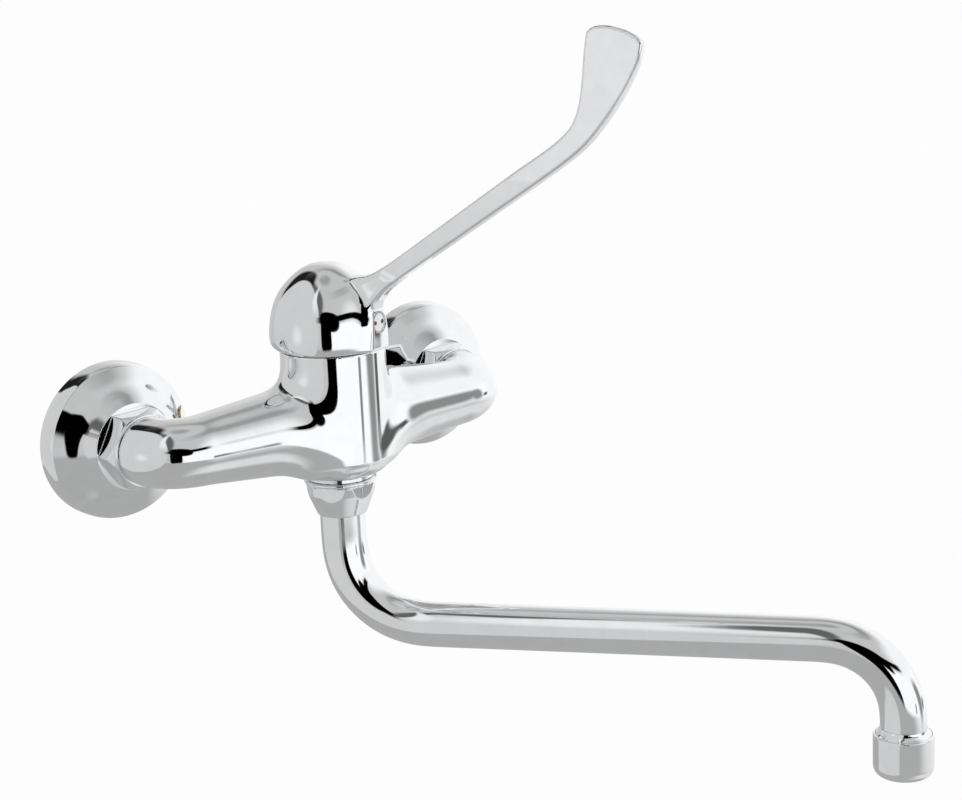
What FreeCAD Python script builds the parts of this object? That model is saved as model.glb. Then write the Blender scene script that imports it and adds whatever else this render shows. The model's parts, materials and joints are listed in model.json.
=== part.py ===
import FreeCAD, Part
import math
import os
from FreeCAD import Vector

os.makedirs("parts", exist_ok=True)

# Frame: millimetres, +Z up, +Y into the wall, origin midway between the two
# water inlets on the wall plane. The tap stands out from the wall towards -Y.

# Driving sizes
inlet_spacing = 150.0        # standard distance between the two inlets
barrel_y = -47.2             # barrel axis in front of the wall
barrel_r = 20.8
barrel_top = 30.8
barrel_bottom = -20.0
arm_y = -43.0                # arm axis in front of the wall
arm_root_r = 19.3            # arm radius at the barrel axis
arm_tip_r = 13.4             # arm radius at the elbow
elbow_r = 13.5               # bend radius of the elbow's axis
arm_face_y = -29.0           # end face of each elbow
lever_azimuth = 20.0         # lever turned from straight out towards +X
spout_azimuth = 38.2         # spout turned from straight out towards +X
spout_reach = 220.8
spout_axis_z = -83.3         # height of the spout's level run
tube_r = 9.0
tube_wall = 1.0
upper_bend_r = 34.0          # bend below the body
lower_bend_r = 31.5          # bend above the aerator
pivot_z = 32.0               # height of the pin the spindle tilts on

# Clearances
running = 0.05               # radial gap of a turning or sliding fit
thread_gap = 0.05            # radial gap between mating threads
free_gap = 0.3               # gap between faces that never touch
touch = 0.001                # smallest overlap that joins two faces
past = 1.0                   # how far a cutter runs past the face it opens
seam = 0.1                   # overlap of two shapes that are joined into one

X = Vector(1, 0, 0)
Y = Vector(0, 1, 0)
Z = Vector(0, 0, 1)
ORIGIN = Vector(0, 0, 0)
BARREL = Vector(0, barrel_y, 0)
SIDES = (("left", -1), ("right", 1))


def save(name, shape):
    """Write one piece to its own STEP file."""
    shape.exportStep("parts/%s.step" % name)


def face_of(points):
    """Flat face inside a closed polygon."""
    closed = [Vector(*p) for p in points]
    return Part.Face(Part.makePolygon(closed + [closed[0]]))


def turned(profile, centre=ORIGIN):
    """Solid of revolution about +Z from (radius, height) points."""
    face = face_of([(r, 0, z) for r, z in profile])
    solid = face.revolve(ORIGIN, Z, 360)
    solid.translate(centre)
    return solid


def turned_to_wall(profile, x):
    """Solid of revolution about +Y at x, from (radius, y) points."""
    face = face_of([(r, y, 0) for r, y in profile])
    solid = face.revolve(ORIGIN, Y, 360)
    solid.translate(X * x)
    return solid


def ring(r_out, r_in, z_low, z_high, centre=ORIGIN):
    """Plain ring standing on +Z."""
    profile = [(r_in, z_low), (r_out, z_low), (r_out, z_high), (r_in, z_high)]
    return turned(profile, centre)


def rod(radius, start, end):
    """Cylinder from one point to another."""
    along = end - start
    return Part.makeCylinder(radius, along.Length, start, along)


def post(radius, x, y, z_low, z_high):
    """Upright cylinder."""
    return Part.makeCylinder(radius, z_high - z_low, Vector(x, y, z_low))


def block(x_range, y_range, z_range):
    """Box from its three ranges."""
    corner = Vector(x_range[0], y_range[0], z_range[0])
    size = [r[1] - r[0] for r in (x_range, y_range, z_range)]
    return Part.makeBox(size[0], size[1], size[2], corner)


def spline_face(curve_runs, plane):
    """Face bounded by runs of points: two points make a line, more make a smooth curve."""
    edges = []
    for run in curve_runs:
        points = [plane(a, b) for a, b in run]
        if len(points) == 2:
            edges.append(Part.makeLine(points[0], points[1]))
        else:
            curve = Part.BSplineCurve()
            curve.interpolate(points)
            edges.append(curve.toShape())
    return Part.Face(Part.Wire(edges))


def along_lever(s, across, z):
    """Point at distance s along the lever's level direction, before it is turned."""
    return Vector(across, barrel_y - s, z)


def about_barrel(shape, azimuth):
    """Turn a shape from straight out (-Y) to an azimuth towards +X."""
    copy = shape.copy()
    copy.rotate(BARREL, Z, azimuth)
    return copy


# Body casting

root_fillet = 7.0            # blend between barrel and arms
bottom_round = 7.3           # rounding of the barrel's lower rim
chamber_r = 17.6             # cartridge chamber
chamber_floor = 8.0
nut_thread_r = 18.7          # thread for the cartridge nut
nut_thread_bottom = 24.6
arm_bore_r = 6.5
arm_bore_end = 4.4           # the two inlet ways stop this far from the axis
nipple_thread_r = 9.6
nipple_end_y = -38.0
boss_r = 12.4                # threaded outlet boss
boss_bottom = -27.0
boss_ring_r = 13.3
boss_ring_bottom = -21.9
boss_root = -18.0            # where the boss starts inside the barrel
outlet_r = 9.1               # bore the spout turns in
outlet_top = -10.0
port_r = 2.7
inlet_ports = [(-6.2, 3.0), (6.2, 3.0)]
outlet_port = (0.0, -6.0)
peg_r = 1.9                  # pegs that stop the cartridge turning
peg_offset = 12.2
peg_hole_depth = 2.5


def arm(side):
    """One tapering arm with its elbow, ending at the union face."""
    end_x = side * inlet_spacing / 2
    bend_x = end_x - side * elbow_r
    bend_y = arm_y + elbow_r
    straight = Part.makeCone(arm_root_r, arm_tip_r, abs(bend_x), Vector(0, arm_y, 0), X * side)
    circle = Part.Face(Part.Wire(Part.Circle(Vector(bend_x, arm_y, 0), X, arm_tip_r).toShape()))
    outside = block((bend_x - past, bend_x + past), (arm_y - arm_root_r, bend_y), (-arm_root_r, arm_root_r))
    elbow = circle.common(outside).revolve(Vector(bend_x, bend_y, 0), Z * side, 90)
    stub = rod(arm_tip_r, Vector(end_x, bend_y - touch, 0), Vector(end_x, arm_face_y, 0))
    return straight.fuse([elbow, stub])


def where_arm_meets_barrel(edge):
    """True for the edges on an arm's cone that lie within the barrel's round."""
    on_surface = 0.03
    if edge.Length < on_surface:
        return False
    slope = (arm_root_r - arm_tip_r) / (inlet_spacing / 2 - elbow_r)
    for p in edge.discretize(9):
        arm_radius = arm_root_r - slope * abs(p.x)
        if abs(math.hypot(p.y - arm_y, p.z) - arm_radius) > on_surface:
            return False
        if math.hypot(p.x, p.y - barrel_y) > barrel_r + on_surface:
            return False
    return True


def mixer_body():
    """Cast body: barrel, two arms, outlet boss and the water ways inside."""
    barrel = Part.makeCylinder(barrel_r, barrel_top - barrel_bottom, BARREL + Z * barrel_bottom)
    lower_rim = [e for e in barrel.Edges if e.BoundBox.ZMax < barrel_bottom + touch]
    barrel = barrel.makeFillet(bottom_round, lower_rim)
    outer = barrel.fuse([arm(-1), arm(1)]).removeSplitter().Solids[0]
    outer = outer.makeFillet(root_fillet, [e for e in outer.Edges if where_arm_meets_barrel(e)])
    boss = turned([(0, boss_root), (boss_ring_r, boss_root), (boss_ring_r, boss_ring_bottom),
                   (boss_r, boss_ring_bottom), (boss_r, boss_bottom), (0, boss_bottom)], BARREL)
    body = outer.fuse(boss)
    chamber = turned([(0, chamber_floor), (chamber_r, chamber_floor), (chamber_r, nut_thread_bottom),
                      (nut_thread_r, nut_thread_bottom), (nut_thread_r, barrel_top + past),
                      (0, barrel_top + past)], BARREL)
    outlet_bore = post(outlet_r, 0, barrel_y, boss_bottom - past, outlet_top)
    outlet_x, outlet_y = outlet_port
    outlet_way = post(port_r, outlet_x, barrel_y + outlet_y, outlet_top - past, chamber_floor + past)
    cuts = [chamber, outlet_bore, outlet_way]
    for x, y in inlet_ports:
        cuts.append(post(port_r, x, barrel_y + y, 0, chamber_floor + past))
    peg_range = (chamber_floor - peg_hole_depth, chamber_floor + past)
    for y in (-peg_offset, peg_offset):
        cuts.append(post(peg_r + running, 0, barrel_y + y, *peg_range))
    for _, side in SIDES:
        corner = Vector(side * inlet_spacing / 2, arm_y, 0)
        mouth = Vector(corner.x, arm_face_y + past, 0)
        thread_start = Vector(corner.x, nipple_end_y, 0)
        cuts.append(rod(arm_bore_r, Vector(side * arm_bore_end, arm_y, 0), corner))
        cuts.append(rod(arm_bore_r, corner, mouth))
        cuts.append(rod(nipple_thread_r + thread_gap, thread_start, mouth))
    return body.cut(cuts)


save("mixer_body", mixer_body())


# Wall unions and their nuts

wall_thread_r = 10.48        # G1/2 thread in the wall
wall_thread_length = 14.0
wall_thread_chamfer = 0.8
wall_bore_r = 5.5
wall_bore_front_y = -9.0
eccentric_drop = 6.0         # wall thread sits this far below the inlet axis
union_thread_r = 13.15       # G3/4 thread
union_end_y = -21.3
union_bore_r = 7.5
union_bore_back_y = -5.0
union_lip_r = 10.2
union_flat = 28.4            # nut across flats
union_turn = 3.0             # degrees the hexagon is turned from corners level
union_round_r = 15.9         # nut turned down to this radius
union_back_y = -15.7
union_front_y = -28.7
union_back_ring = (15.6, 1.0)    # radius and depth of the round ring behind the hexagon
union_front_ring = (14.1, 0.5)
union_chamfer_depth = 2.4
flange_r = 12.85
flange_front_y = -25.8
flange_back_y = -23.4
washer_r_in = 7.6
washer_r_out = 12.8
strainer_depth = 3.2
strainer_wall = 0.9
strainer_plate = 0.8
strainer_hole_r = 0.7
strainer_holes = ((1, 0.0), (6, 2.4), (12, 4.8))    # count and circle radius


def wall_union(x):
    """Eccentric union: wall thread, offset union thread, and a bore through both."""
    chamfer = wall_thread_chamfer
    drop = Z * -eccentric_drop
    end = wall_thread_length
    thread = turned_to_wall([(0, 0), (wall_thread_r, 0), (wall_thread_r, end - chamfer),
                             (wall_thread_r - chamfer, end), (0, end)], x)
    thread.translate(drop)
    front = rod(union_thread_r, Vector(x, union_end_y, 0), Vector(x, 0, 0))
    bore_front = rod(union_bore_r, Vector(x, union_end_y - past, 0), Vector(x, union_bore_back_y, 0))
    bore_back = rod(wall_bore_r, Vector(x, wall_bore_front_y, 0) + drop, Vector(x, end + past, 0) + drop)
    return front.fuse(thread).cut([bore_front, bore_back])


def rosette(x):
    """Cup-shaped wall rose: thin shell with a rounded shoulder and a low front face."""
    outer = [(31.0, 0), (31.0, -4.0), (29.75, -8.0), (26.7, -12.0), (22.4, -14.2), (18.0, -15.1),
             (13.5, -15.3)]
    inner = [(13.5, -14.1), (17.8, -13.9), (21.7, -13.1), (25.6, -11.1), (28.4, -7.6), (29.7, -3.8),
             (29.8, 0)]
    runs = [outer, (outer[-1], inner[0]), inner, (inner[-1], outer[0])]
    face = spline_face(runs, lambda r, y: Vector(r, y, 0))
    shell = face.revolve(ORIGIN, Y, 360)
    shell.translate(X * x)
    return shell


def union_nut(x):
    """Hexagon nut with turned ends, a thread and an inner lip."""
    corner = union_flat / math.sqrt(3)
    back_r, back_depth = union_back_ring
    front_r, front_depth = union_front_ring
    hex_front = union_front_y + front_depth
    hex_back = union_back_y - back_depth
    points = []
    for k in range(6):
        angle = math.radians(60 * k + union_turn)
        points.append((x + corner * math.cos(angle), hex_front, corner * math.sin(angle)))
    hexagon = face_of(points).extrude(Y * (hex_back - hex_front))
    rounding = turned_to_wall([(0, hex_front), (front_r, hex_front),
                               (union_round_r, hex_front + union_chamfer_depth), (union_round_r, hex_back),
                               (0, hex_back)], x)
    back_ring = rod(back_r, Vector(x, hex_back - seam, 0), Vector(x, union_back_y, 0))
    front_ring = rod(front_r, Vector(x, union_front_y, 0), Vector(x, hex_front + seam, 0))
    nut = hexagon.common(rounding).fuse([back_ring, front_ring])
    thread = rod(union_thread_r + thread_gap, Vector(x, flange_front_y, 0), Vector(x, union_back_y + past, 0))
    lip = rod(union_lip_r, Vector(x, union_front_y - past, 0), Vector(x, union_back_y, 0))
    return nut.cut([thread, lip])


def inlet_nipple(x):
    """Flanged nipple screwed into the arm; the union nut pulls on its flange."""
    return turned_to_wall([(arm_bore_r, nipple_end_y), (nipple_thread_r, nipple_end_y),
                           (nipple_thread_r, arm_face_y), (union_lip_r - free_gap, arm_face_y),
                           (union_lip_r - free_gap, flange_front_y), (flange_r, flange_front_y),
                           (flange_r, flange_back_y), (arm_bore_r, flange_back_y)], x)


def inlet_washer(x):
    """Flat seal between the wall union and the nipple's flange."""
    return turned_to_wall([(washer_r_in, flange_back_y), (washer_r_out, flange_back_y),
                           (washer_r_out, union_end_y), (washer_r_in, union_end_y)], x)


def inlet_strainer(x):
    """Drilled disc with a rim, held in the end of the wall union."""
    rim_r = union_bore_r - seam
    inside_r = rim_r - strainer_wall
    back = union_end_y + strainer_depth
    plate = back - strainer_plate
    cup = turned_to_wall([(0, back), (rim_r, back), (rim_r, union_end_y), (inside_r, union_end_y),
                          (inside_r, plate), (0, plate)], x)
    holes = []
    for count, circle_r in strainer_holes:
        for k in range(count):
            angle = 2 * math.pi * k / count
            centre = Vector(x + circle_r * math.cos(angle), union_end_y, circle_r * math.sin(angle))
            holes.append(rod(strainer_hole_r, centre, centre + Y * (strainer_depth + past)))
    return cup.cut(holes)


for side_name, side in SIDES:
    inlet_x = side * inlet_spacing / 2
    save("wall_union_" + side_name, wall_union(inlet_x))
    save("rosette_" + side_name, rosette(inlet_x))
    save("union_nut_" + side_name, union_nut(inlet_x))
    save("inlet_nipple_" + side_name, inlet_nipple(inlet_x))
    save("inlet_washer_" + side_name, inlet_washer(inlet_x))
    save("inlet_strainer_" + side_name, inlet_strainer(inlet_x))


# Cartridge, bottom to top

base_r = 17.2
base_bottom = 8.3
base_top = 11.4
base_groove = 1.0            # depth of the seal groove below
disc_groove = 0.8            # depth of the seal groove above
peg_length = 2.2
seal_r_in = 2.9
seal_r_out = 3.9
fixed_disc_r = 12.5
fixed_disc_bottom = 11.9
fixed_disc_top = 15.1
moving_disc_r = 11.0
moving_disc_bottom = 15.13
moving_disc_top = 17.9
carrier_bottom = 17.93
carrier_top = 21.4
carrier_half_width = 10.25
carrier_r = 11.2
mixing_pocket = (5.0, 4.0, 1.5)    # radius, shift behind the axis and depth
drive_offset = 7.0           # pins of the carrier that drive the moving disc
drive_pin = (1.2, 0.9)       # radius and length
drive_hole = (1.3, 1.1)      # radius and depth
ball_slot_half = 3.2         # half length of the carrier's slot
ball_play = 0.15
rotor_flange_bottom = 21.6
rotor_flange_top = 23.4
rotor_top = 37.2
rail_half_length = 6.0
rail_thickness = 2.25
housing_shoulder = 25.0
housing_ceiling = 23.45
housing_top = 36.0
housing_neck_r = 14.6
rotor_neck_r = 12.0
cavity_r = 15.9
disc_play = 0.1              # gap round the fixed disc
disc_proud = 0.4             # fixed disc stands this far above its seat
slot_half_width = 4.15       # slot the spindle swings in
slot_front = 8.2
slot_back = 7.2
ball_z = 20.1                # centre of the spindle's lower ball
ball_r = 2.0
leg_r = 1.3
pin_r = 1.5
pin_inset = 0.4              # pin ends this far inside the rotor's neck
nut_recess = 0.6             # cartridge nut lies this far below the barrel's top
notch_half_width = 1.5
notch_depth = 1.8
all_ports = inlet_ports + [outlet_port]


def port_rings(z_low, z_high):
    """One seal ring round each of the three ports."""
    rings = [ring(seal_r_out, seal_r_in, z_low, z_high, BARREL + Vector(x, y, 0)) for x, y in all_ports]
    return rings[0].fuse(rings[1:])


def port_holes(z_low, z_high):
    """Cutters for the three ports."""
    return [post(port_r, x, barrel_y + y, z_low, z_high) for x, y in all_ports]


def cartridge_base():
    """Lower shell with two locating pegs, three ports and a seal groove on each face."""
    plate = post(base_r, 0, barrel_y, base_bottom, base_top)
    peg_range = (chamber_floor - peg_length, base_bottom + seam)
    pegs = [post(peg_r, 0, barrel_y + y, *peg_range) for y in (-peg_offset, peg_offset)]
    grooves = [port_rings(base_bottom - past, base_bottom + base_groove),
               port_rings(base_top - disc_groove, base_top + past)]
    return plate.fuse(pegs).cut(port_holes(base_bottom - past, base_top + past) + grooves)


def fixed_disc():
    """Fixed ceramic disc with the three ports."""
    disc = post(fixed_disc_r, 0, barrel_y, fixed_disc_bottom, fixed_disc_top)
    return disc.cut(port_holes(fixed_disc_bottom - past, fixed_disc_top + past))


def cartridge_housing():
    """Upper shell: seat round the fixed disc, cavity for the moving parts, and a neck."""
    seat_r = fixed_disc_r + disc_play
    neck_bore_r = rotor_neck_r + running
    cavity_floor = fixed_disc_top - disc_proud
    return turned([(seat_r, base_top), (base_r, base_top), (base_r, housing_shoulder),
                   (housing_neck_r, housing_shoulder), (housing_neck_r, housing_top),
                   (neck_bore_r, housing_top), (neck_bore_r, housing_ceiling),
                   (cavity_r, housing_ceiling), (cavity_r, cavity_floor), (seat_r, cavity_floor)], BARREL)


def cartridge_nut():
    """Threaded ring with four tool notches that clamps the cartridge."""
    top = barrel_top - nut_recess
    body = ring(nut_thread_r - thread_gap, housing_neck_r + free_gap, housing_shoulder, top, BARREL)
    notch = block((-nut_thread_r, nut_thread_r), (barrel_y - notch_half_width, barrel_y + notch_half_width),
                  (top - notch_depth, top + past))
    return body.cut([notch, about_barrel(notch, 90)])


def moving_disc():
    """Moving ceramic disc: blind mixing pocket below, two driving holes above."""
    disc = post(moving_disc_r, 0, barrel_y, moving_disc_bottom, moving_disc_top)
    pocket_radius, shift, depth = mixing_pocket
    pocket = post(pocket_radius, 0, barrel_y + shift, moving_disc_bottom - past, moving_disc_bottom + depth)
    hole_r, hole_depth = drive_hole
    drives = [post(hole_r, x, barrel_y, moving_disc_top - hole_depth, moving_disc_top + past)
              for x in (-drive_offset, drive_offset)]
    return disc.cut([pocket] + drives)


def disc_carrier():
    """Sliding carrier: flat sides run between the rotor's rails, a slot takes the ball."""
    disc = post(carrier_r, 0, barrel_y, carrier_bottom, carrier_top)
    flats = block((-carrier_half_width, carrier_half_width), (barrel_y - carrier_r, barrel_y + carrier_r),
                  (carrier_bottom, carrier_top))
    peg_radius, length = drive_pin
    pins = [post(peg_radius, x, barrel_y, moving_disc_top - length, carrier_bottom + seam)
            for x in (-drive_offset, drive_offset)]
    reach = ball_r + ball_play
    slot = block((-ball_slot_half, ball_slot_half), (barrel_y - reach, barrel_y + reach),
                 (carrier_bottom - past, carrier_top + past))
    return disc.common(flats).fuse(pins).cut(slot)


def cartridge_rotor():
    """Turning guide: flange under the ceiling, neck through it, two rails below."""
    body = turned([(0, rotor_flange_bottom), (cavity_r - free_gap, rotor_flange_bottom),
                   (cavity_r - free_gap, rotor_flange_top), (rotor_neck_r, rotor_flange_top),
                   (rotor_neck_r, rotor_top), (0, rotor_top)], BARREL)
    rails = []
    for sign in (-1, 1):
        inner = sign * (carrier_half_width + running)
        outer = inner + sign * rail_thickness
        rails.append(block((min(inner, outer), max(inner, outer)),
                           (barrel_y - rail_half_length, barrel_y + rail_half_length),
                           (carrier_bottom + free_gap, rotor_flange_bottom + seam)))
    slot = block((-slot_half_width, slot_half_width), (barrel_y - slot_front, barrel_y + slot_back),
                 (rotor_flange_bottom - past, rotor_top + past))
    pin_hole = rod(pin_r, Vector(-cavity_r, barrel_y, pivot_z), Vector(cavity_r, barrel_y, pivot_z))
    return body.fuse(rails).cut([slot, pin_hole])


def spindle_pin():
    """Cross pin the spindle tilts on."""
    half = rotor_neck_r - pin_inset
    return rod(pin_r, Vector(-half, barrel_y, pivot_z), Vector(half, barrel_y, pivot_z))


spindle_half = 3.4           # half depth of the spindle along the lever
square_half = 3.5            # half width of its square top
spindle_top = 51.5
eye_bottom = 28.2
eye_top = 38.5


def spindle():
    """Square spindle: ball in the carrier, eye on the pin, square top in the cap."""
    width = slot_half_width - running
    eye = block((-width, width), (barrel_y - spindle_half, barrel_y + spindle_half), (eye_bottom, eye_top))
    leg = post(leg_r, 0, barrel_y, ball_z, pivot_z)
    ball = Part.makeSphere(ball_r, Vector(0, barrel_y, ball_z))
    square = block((-square_half, square_half), (barrel_y - square_half, barrel_y + square_half),
                   (eye_top - seam, spindle_top))
    pin_hole_end = X * rotor_neck_r
    pivot = Vector(0, barrel_y, pivot_z)
    hole = rod(pin_r + running, pivot - pin_hole_end, pivot + pin_hole_end)
    return eye.fuse([leg, ball, square]).cut(hole)


save("cartridge_base", cartridge_base())
save("base_seals", port_rings(chamber_floor, base_bottom + base_groove))
save("disc_seals", port_rings(base_top - disc_groove, fixed_disc_bottom))
save("fixed_disc", fixed_disc())
save("cartridge_housing", cartridge_housing())
save("cartridge_nut", cartridge_nut())
for piece_name, piece in (("moving_disc", moving_disc()), ("disc_carrier", disc_carrier()),
                          ("cartridge_rotor", cartridge_rotor()), ("spindle_pin", spindle_pin()),
                          ("spindle", spindle())):
    save(piece_name, about_barrel(piece, lever_azimuth))


# Lever handle

cap_back_shift = 1.7         # cap axis sits this far behind the barrel axis
cap_bottom = 31.15
lever_half_width = 3.7
lever_tip_half_width = 1.6
taper_bottom = 100.0         # the lever thins from this height to its tip
taper_top = 157.0
neck_round = 2.2
hub_r = 8.0
hub_bottom = 41.0
hub_top = 60.5
screw_z = 42.1
screw_r = 2.5
screw_end = 11.5             # outer end of the screw, measured along the lever
screw_socket = (1.45, 2.2)   # corner radius and depth of its hexagon socket
screw_passage_start = 12.0
boss_tube_r = 4.2            # boss inside the cap round the screw
boss_tube_range = (6.0, 20.0)
plug_r = 4.3
plug_front = 23.0            # front of the button, measured along the lever
plug_back = 20.0


cap_inner = [(0, 59.5), (5.0, 59.0), (9.5, 57.3), (13.4, 54.3), (16.6, 50.4), (18.9, 46.0), (20.3, 41.0),
             (21.0, 36.0), (21.15, cap_bottom)]
CAP_AXIS = BARREL + Y * cap_back_shift


def spun_about_cap(runs):
    """Solid of revolution about the cap's axis from runs of (radius, height) points."""
    solid = spline_face(runs, lambda r, z: Vector(r, 0, z)).revolve(ORIGIN, Z, 360)
    solid.translate(CAP_AXIS)
    return solid


def button_disc(radius, across, back, front):
    """Round disc level with the screw and the button, facing along the lever."""
    return rod(radius, along_lever(back, across, screw_z), along_lever(front, across, screw_z))


def cap_shell():
    """Domed cap, hollow inside, with a skirt that passes outside the barrel at the back."""
    outer = [(22.9, cap_bottom), (23.1, 35.0), (22.8, 40.0), (21.9, 45.0), (20.1, 50.3), (17.5, 54.6),
             (14.1, 58.3), (9.8, 61.7), (5.0, 63.8), (0, 64.4)]
    return spun_about_cap([outer, (outer[-1], cap_inner[0]), cap_inner, (cap_inner[-1], outer[0])])


def cap_void():
    """Space inside the cap, kept clear of the lever's root."""
    floor = (0, cap_bottom)
    return spun_about_cap([cap_inner, (cap_inner[-1], floor), (floor, cap_inner[0])])


def lever_blade():
    """Flat-sided lever cut from its side outline, thinning towards the upturned end."""
    top = [(89.1, 103.8), (95.6, 107.8), (101.6, 111.6), (106.7, 115.3), (110.7, 119.0), (113.2, 122.9),
           (114.7, 127.0), (115.9, 133.1), (116.6, 139.0), (117.3, 146.0), (118.4, 153.4)]
    end = [(118.4, 153.4), (120.7, 155.0), (124.2, 155.7), (127.5, 155.6), (131.4, 154.8), (134.2, 154.0),
           (137.0, 152.7), (139.6, 150.9), (140.6, 149.4)]
    under = [(140.6, 149.4), (139.7, 144.6), (137.3, 139.1), (131.4, 129.6), (124.3, 120.6), (117.4, 113.3),
             (107.5, 105.8), (96.9, 98.9)]
    root = [(12.0, 48.0), (12.0, 57.5)]
    rise = [(12.0, 57.5), (15.0, 59.3), (20.0, 60.5), (26.6, 63.6), (33.3, 67.6)]
    fall = [(43.1, 65.2), (33.7, 59.3), (27.0, 54.4), (22.6, 49.2), (19.0, 44.0)]
    runs = [rise, (rise[-1], top[0]), top, end, under, (under[-1], fall[0]), fall, (fall[-1], root[0]), root]
    face = spline_face(runs, lambda s, z: along_lever(s, -lever_half_width, z))
    blade = face.extrude(X * (2 * lever_half_width))
    w, t = lever_half_width, lever_tip_half_width
    taper = face_of([(-w, 0, 0), (w, 0, 0), (w, 0, taper_bottom), (t, 0, taper_top), (-t, 0, taper_top),
                     (-w, 0, taper_bottom)])
    wedge = taper.extrude(Y * -taper_top)
    wedge.translate(BARREL)
    return blade.common(wedge)


def lever_neck():
    """Nose under the lever that carries the hot and cold button, narrowing upwards."""
    front = [(22.3, 35.0), (22.6, 39.0), (22.6, 43.0), (22.3, 46.6), (23.2, 50.2), (27.4, 54.8), (33.7, 59.6)]
    outline = [front, (front[-1], (27.0, 62.6)), ((27.0, 62.6), (12.0, 56.0)), ((12.0, 56.0), (12.0, 35.0)),
               ((12.0, 35.0), front[0])]
    face = spline_face(outline, lambda s, z: along_lever(s, -hub_r, z))
    side_view = face.extrude(X * (2 * hub_r))
    flank = [(6.7, 34.0), (6.4, 38.0), (6.1, 42.0), (5.2, 46.0), (4.3, 50.0), (3.8, 55.0), (3.7, 64.0)]
    mirrored = [(-w, z) for w, z in reversed(flank)]
    runs = [flank, (flank[-1], mirrored[0]), mirrored, (mirrored[-1], flank[0])]
    face = spline_face(runs, lambda w, z: along_lever(0, w, z))
    nose = side_view.common(face.extrude(Y * -outline[0][-1][0] * 2))
    corners = [e for e in nose.Edges if is_front_corner(e)]
    return nose.makeFillet(neck_round, corners)


def is_front_corner(edge):
    """True for the two long edges between the nose's front and its flanks."""
    box = edge.BoundBox
    sideways = box.XMax * box.XMin > 0
    return sideways and box.ZMax - box.ZMin > 20 and barrel_y - box.YMax > 15


def lever_handle():
    """Cap, neck and lever in one casting, with the hub for the spindle inside."""
    outside = lever_neck().fuse(lever_blade()).cut(cap_void())
    hub = post(hub_r, 0, barrel_y, hub_bottom, hub_top)
    boss_start, boss_end = boss_tube_range
    screw_boss = button_disc(boss_tube_r, 0, boss_start, boss_end)
    socket_half = square_half + running
    socket = block((-socket_half, socket_half), (barrel_y - socket_half, barrel_y + socket_half),
                   (hub_bottom - past, spindle_top + free_gap))
    drill = button_disc(screw_r + thread_gap, 0, 0, screw_passage_start)
    passage = button_disc(screw_r + free_gap, 0, screw_passage_start, plug_back + past)
    seat = button_disc(plug_r + running, 0, plug_back, plug_front + 3 * past)
    return cap_shell().fuse([outside, hub, screw_boss]).cut([socket, drill, passage, seat])


def handle_screw():
    """Grub screw with a hexagon socket, pressing on the spindle."""
    screw = button_disc(screw_r, 0, square_half + seam, screw_end)
    corner, depth = screw_socket
    points = []
    for k in range(6):
        angle = math.radians(60 * k)
        across = corner * math.cos(angle)
        points.append(along_lever(screw_end - depth, across, screw_z + corner * math.sin(angle)))
    socket = face_of(points).extrude(Y * -(depth + past))
    return screw.cut(socket)


recess = 0.9                 # depth of the button's seat below its rim
button_face_r = 3.6
dot_r = 0.85
dot_offset = 2.3
dot_depth = 0.3
dot_proud = 0.1
face_front = plug_front - 0.3


def index_plug():
    """Rim and back of the hot and cold button."""
    plug = button_disc(plug_r, 0, plug_back, plug_front)
    return plug.cut(button_disc(button_face_r + running, 0, plug_front - recess, plug_front + past))


def index_face():
    """Pale face of the button with two seats for the coloured dots."""
    disc = button_disc(button_face_r, 0, plug_front - recess, face_front)
    return disc.cut([button_disc(dot_r, x, face_front - dot_depth, face_front + past)
                     for x in (-dot_offset, dot_offset)])


lever_pieces = (
    ("lever_handle", lever_handle()),
    ("handle_screw", handle_screw()),
    ("index_plug", index_plug()),
    ("index_face", index_face()),
    ("index_red", button_disc(dot_r, -dot_offset, face_front - dot_depth, face_front + dot_proud)),
    ("index_blue", button_disc(dot_r, dot_offset, face_front - dot_depth, face_front + dot_proud)),
)
for piece_name, piece in lever_pieces:
    save(piece_name, about_barrel(piece, lever_azimuth))


# Swivel spout

nut_flat = 25.6              # spout nut across flats
nut_turn = 8.0               # degrees one flat is turned from facing straight out
nut_top = -22.0
nut_flats_top = -24.0
nut_step = -27.9
nut_flats_bottom = -30.4
nut_bottom = -36.8
nut_shoulder = -31.0
pocket_r = 10.8
tube_play = 0.08             # gap round the tube in the nut and the glide ring
collar_top = -14.0
collar_bore_r = 6.0
spigot_r = 9.05
collar_flange_r = 10.6
flange_top = -27.1
flange_bottom = -29.2
sleeve_bottom = -36.0
o_ring_r = 0.85
o_ring_heights = (-17.4, -21.8)
groove_half_width = 0.95
tube_top = -29.25
tube_end = -121.0
solder_gap = 0.02            # gap between the aerator's holder and the tube


def spout_nut():
    """Nut with a round top ring, six flats and a conical skirt down to the tube."""
    outer = turned([(0, nut_top), (14.1, nut_top), (14.5, -22.4), (14.5, -23.2), (13.9, -23.7), (14.1, -24.2),
                    (13.4, nut_step), (9.8, nut_bottom), (0, nut_bottom)], BARREL)
    half_flat = nut_flat / math.sqrt(3) / 2
    flat = block((-half_flat, half_flat), (barrel_y - nut_flat, barrel_y - nut_flat / 2),
                 (nut_flats_bottom, nut_flats_top))
    flats = [about_barrel(flat, 60 * k + nut_turn) for k in range(6)]
    thread = post(boss_r + thread_gap, 0, barrel_y, flange_top - free_gap, nut_top + past)
    pocket = post(pocket_r, 0, barrel_y, nut_shoulder, nut_top)
    mouth = post(tube_r + tube_play, 0, barrel_y, nut_bottom - past, nut_top)
    return outer.cut(flats + [thread, pocket, mouth])


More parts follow.
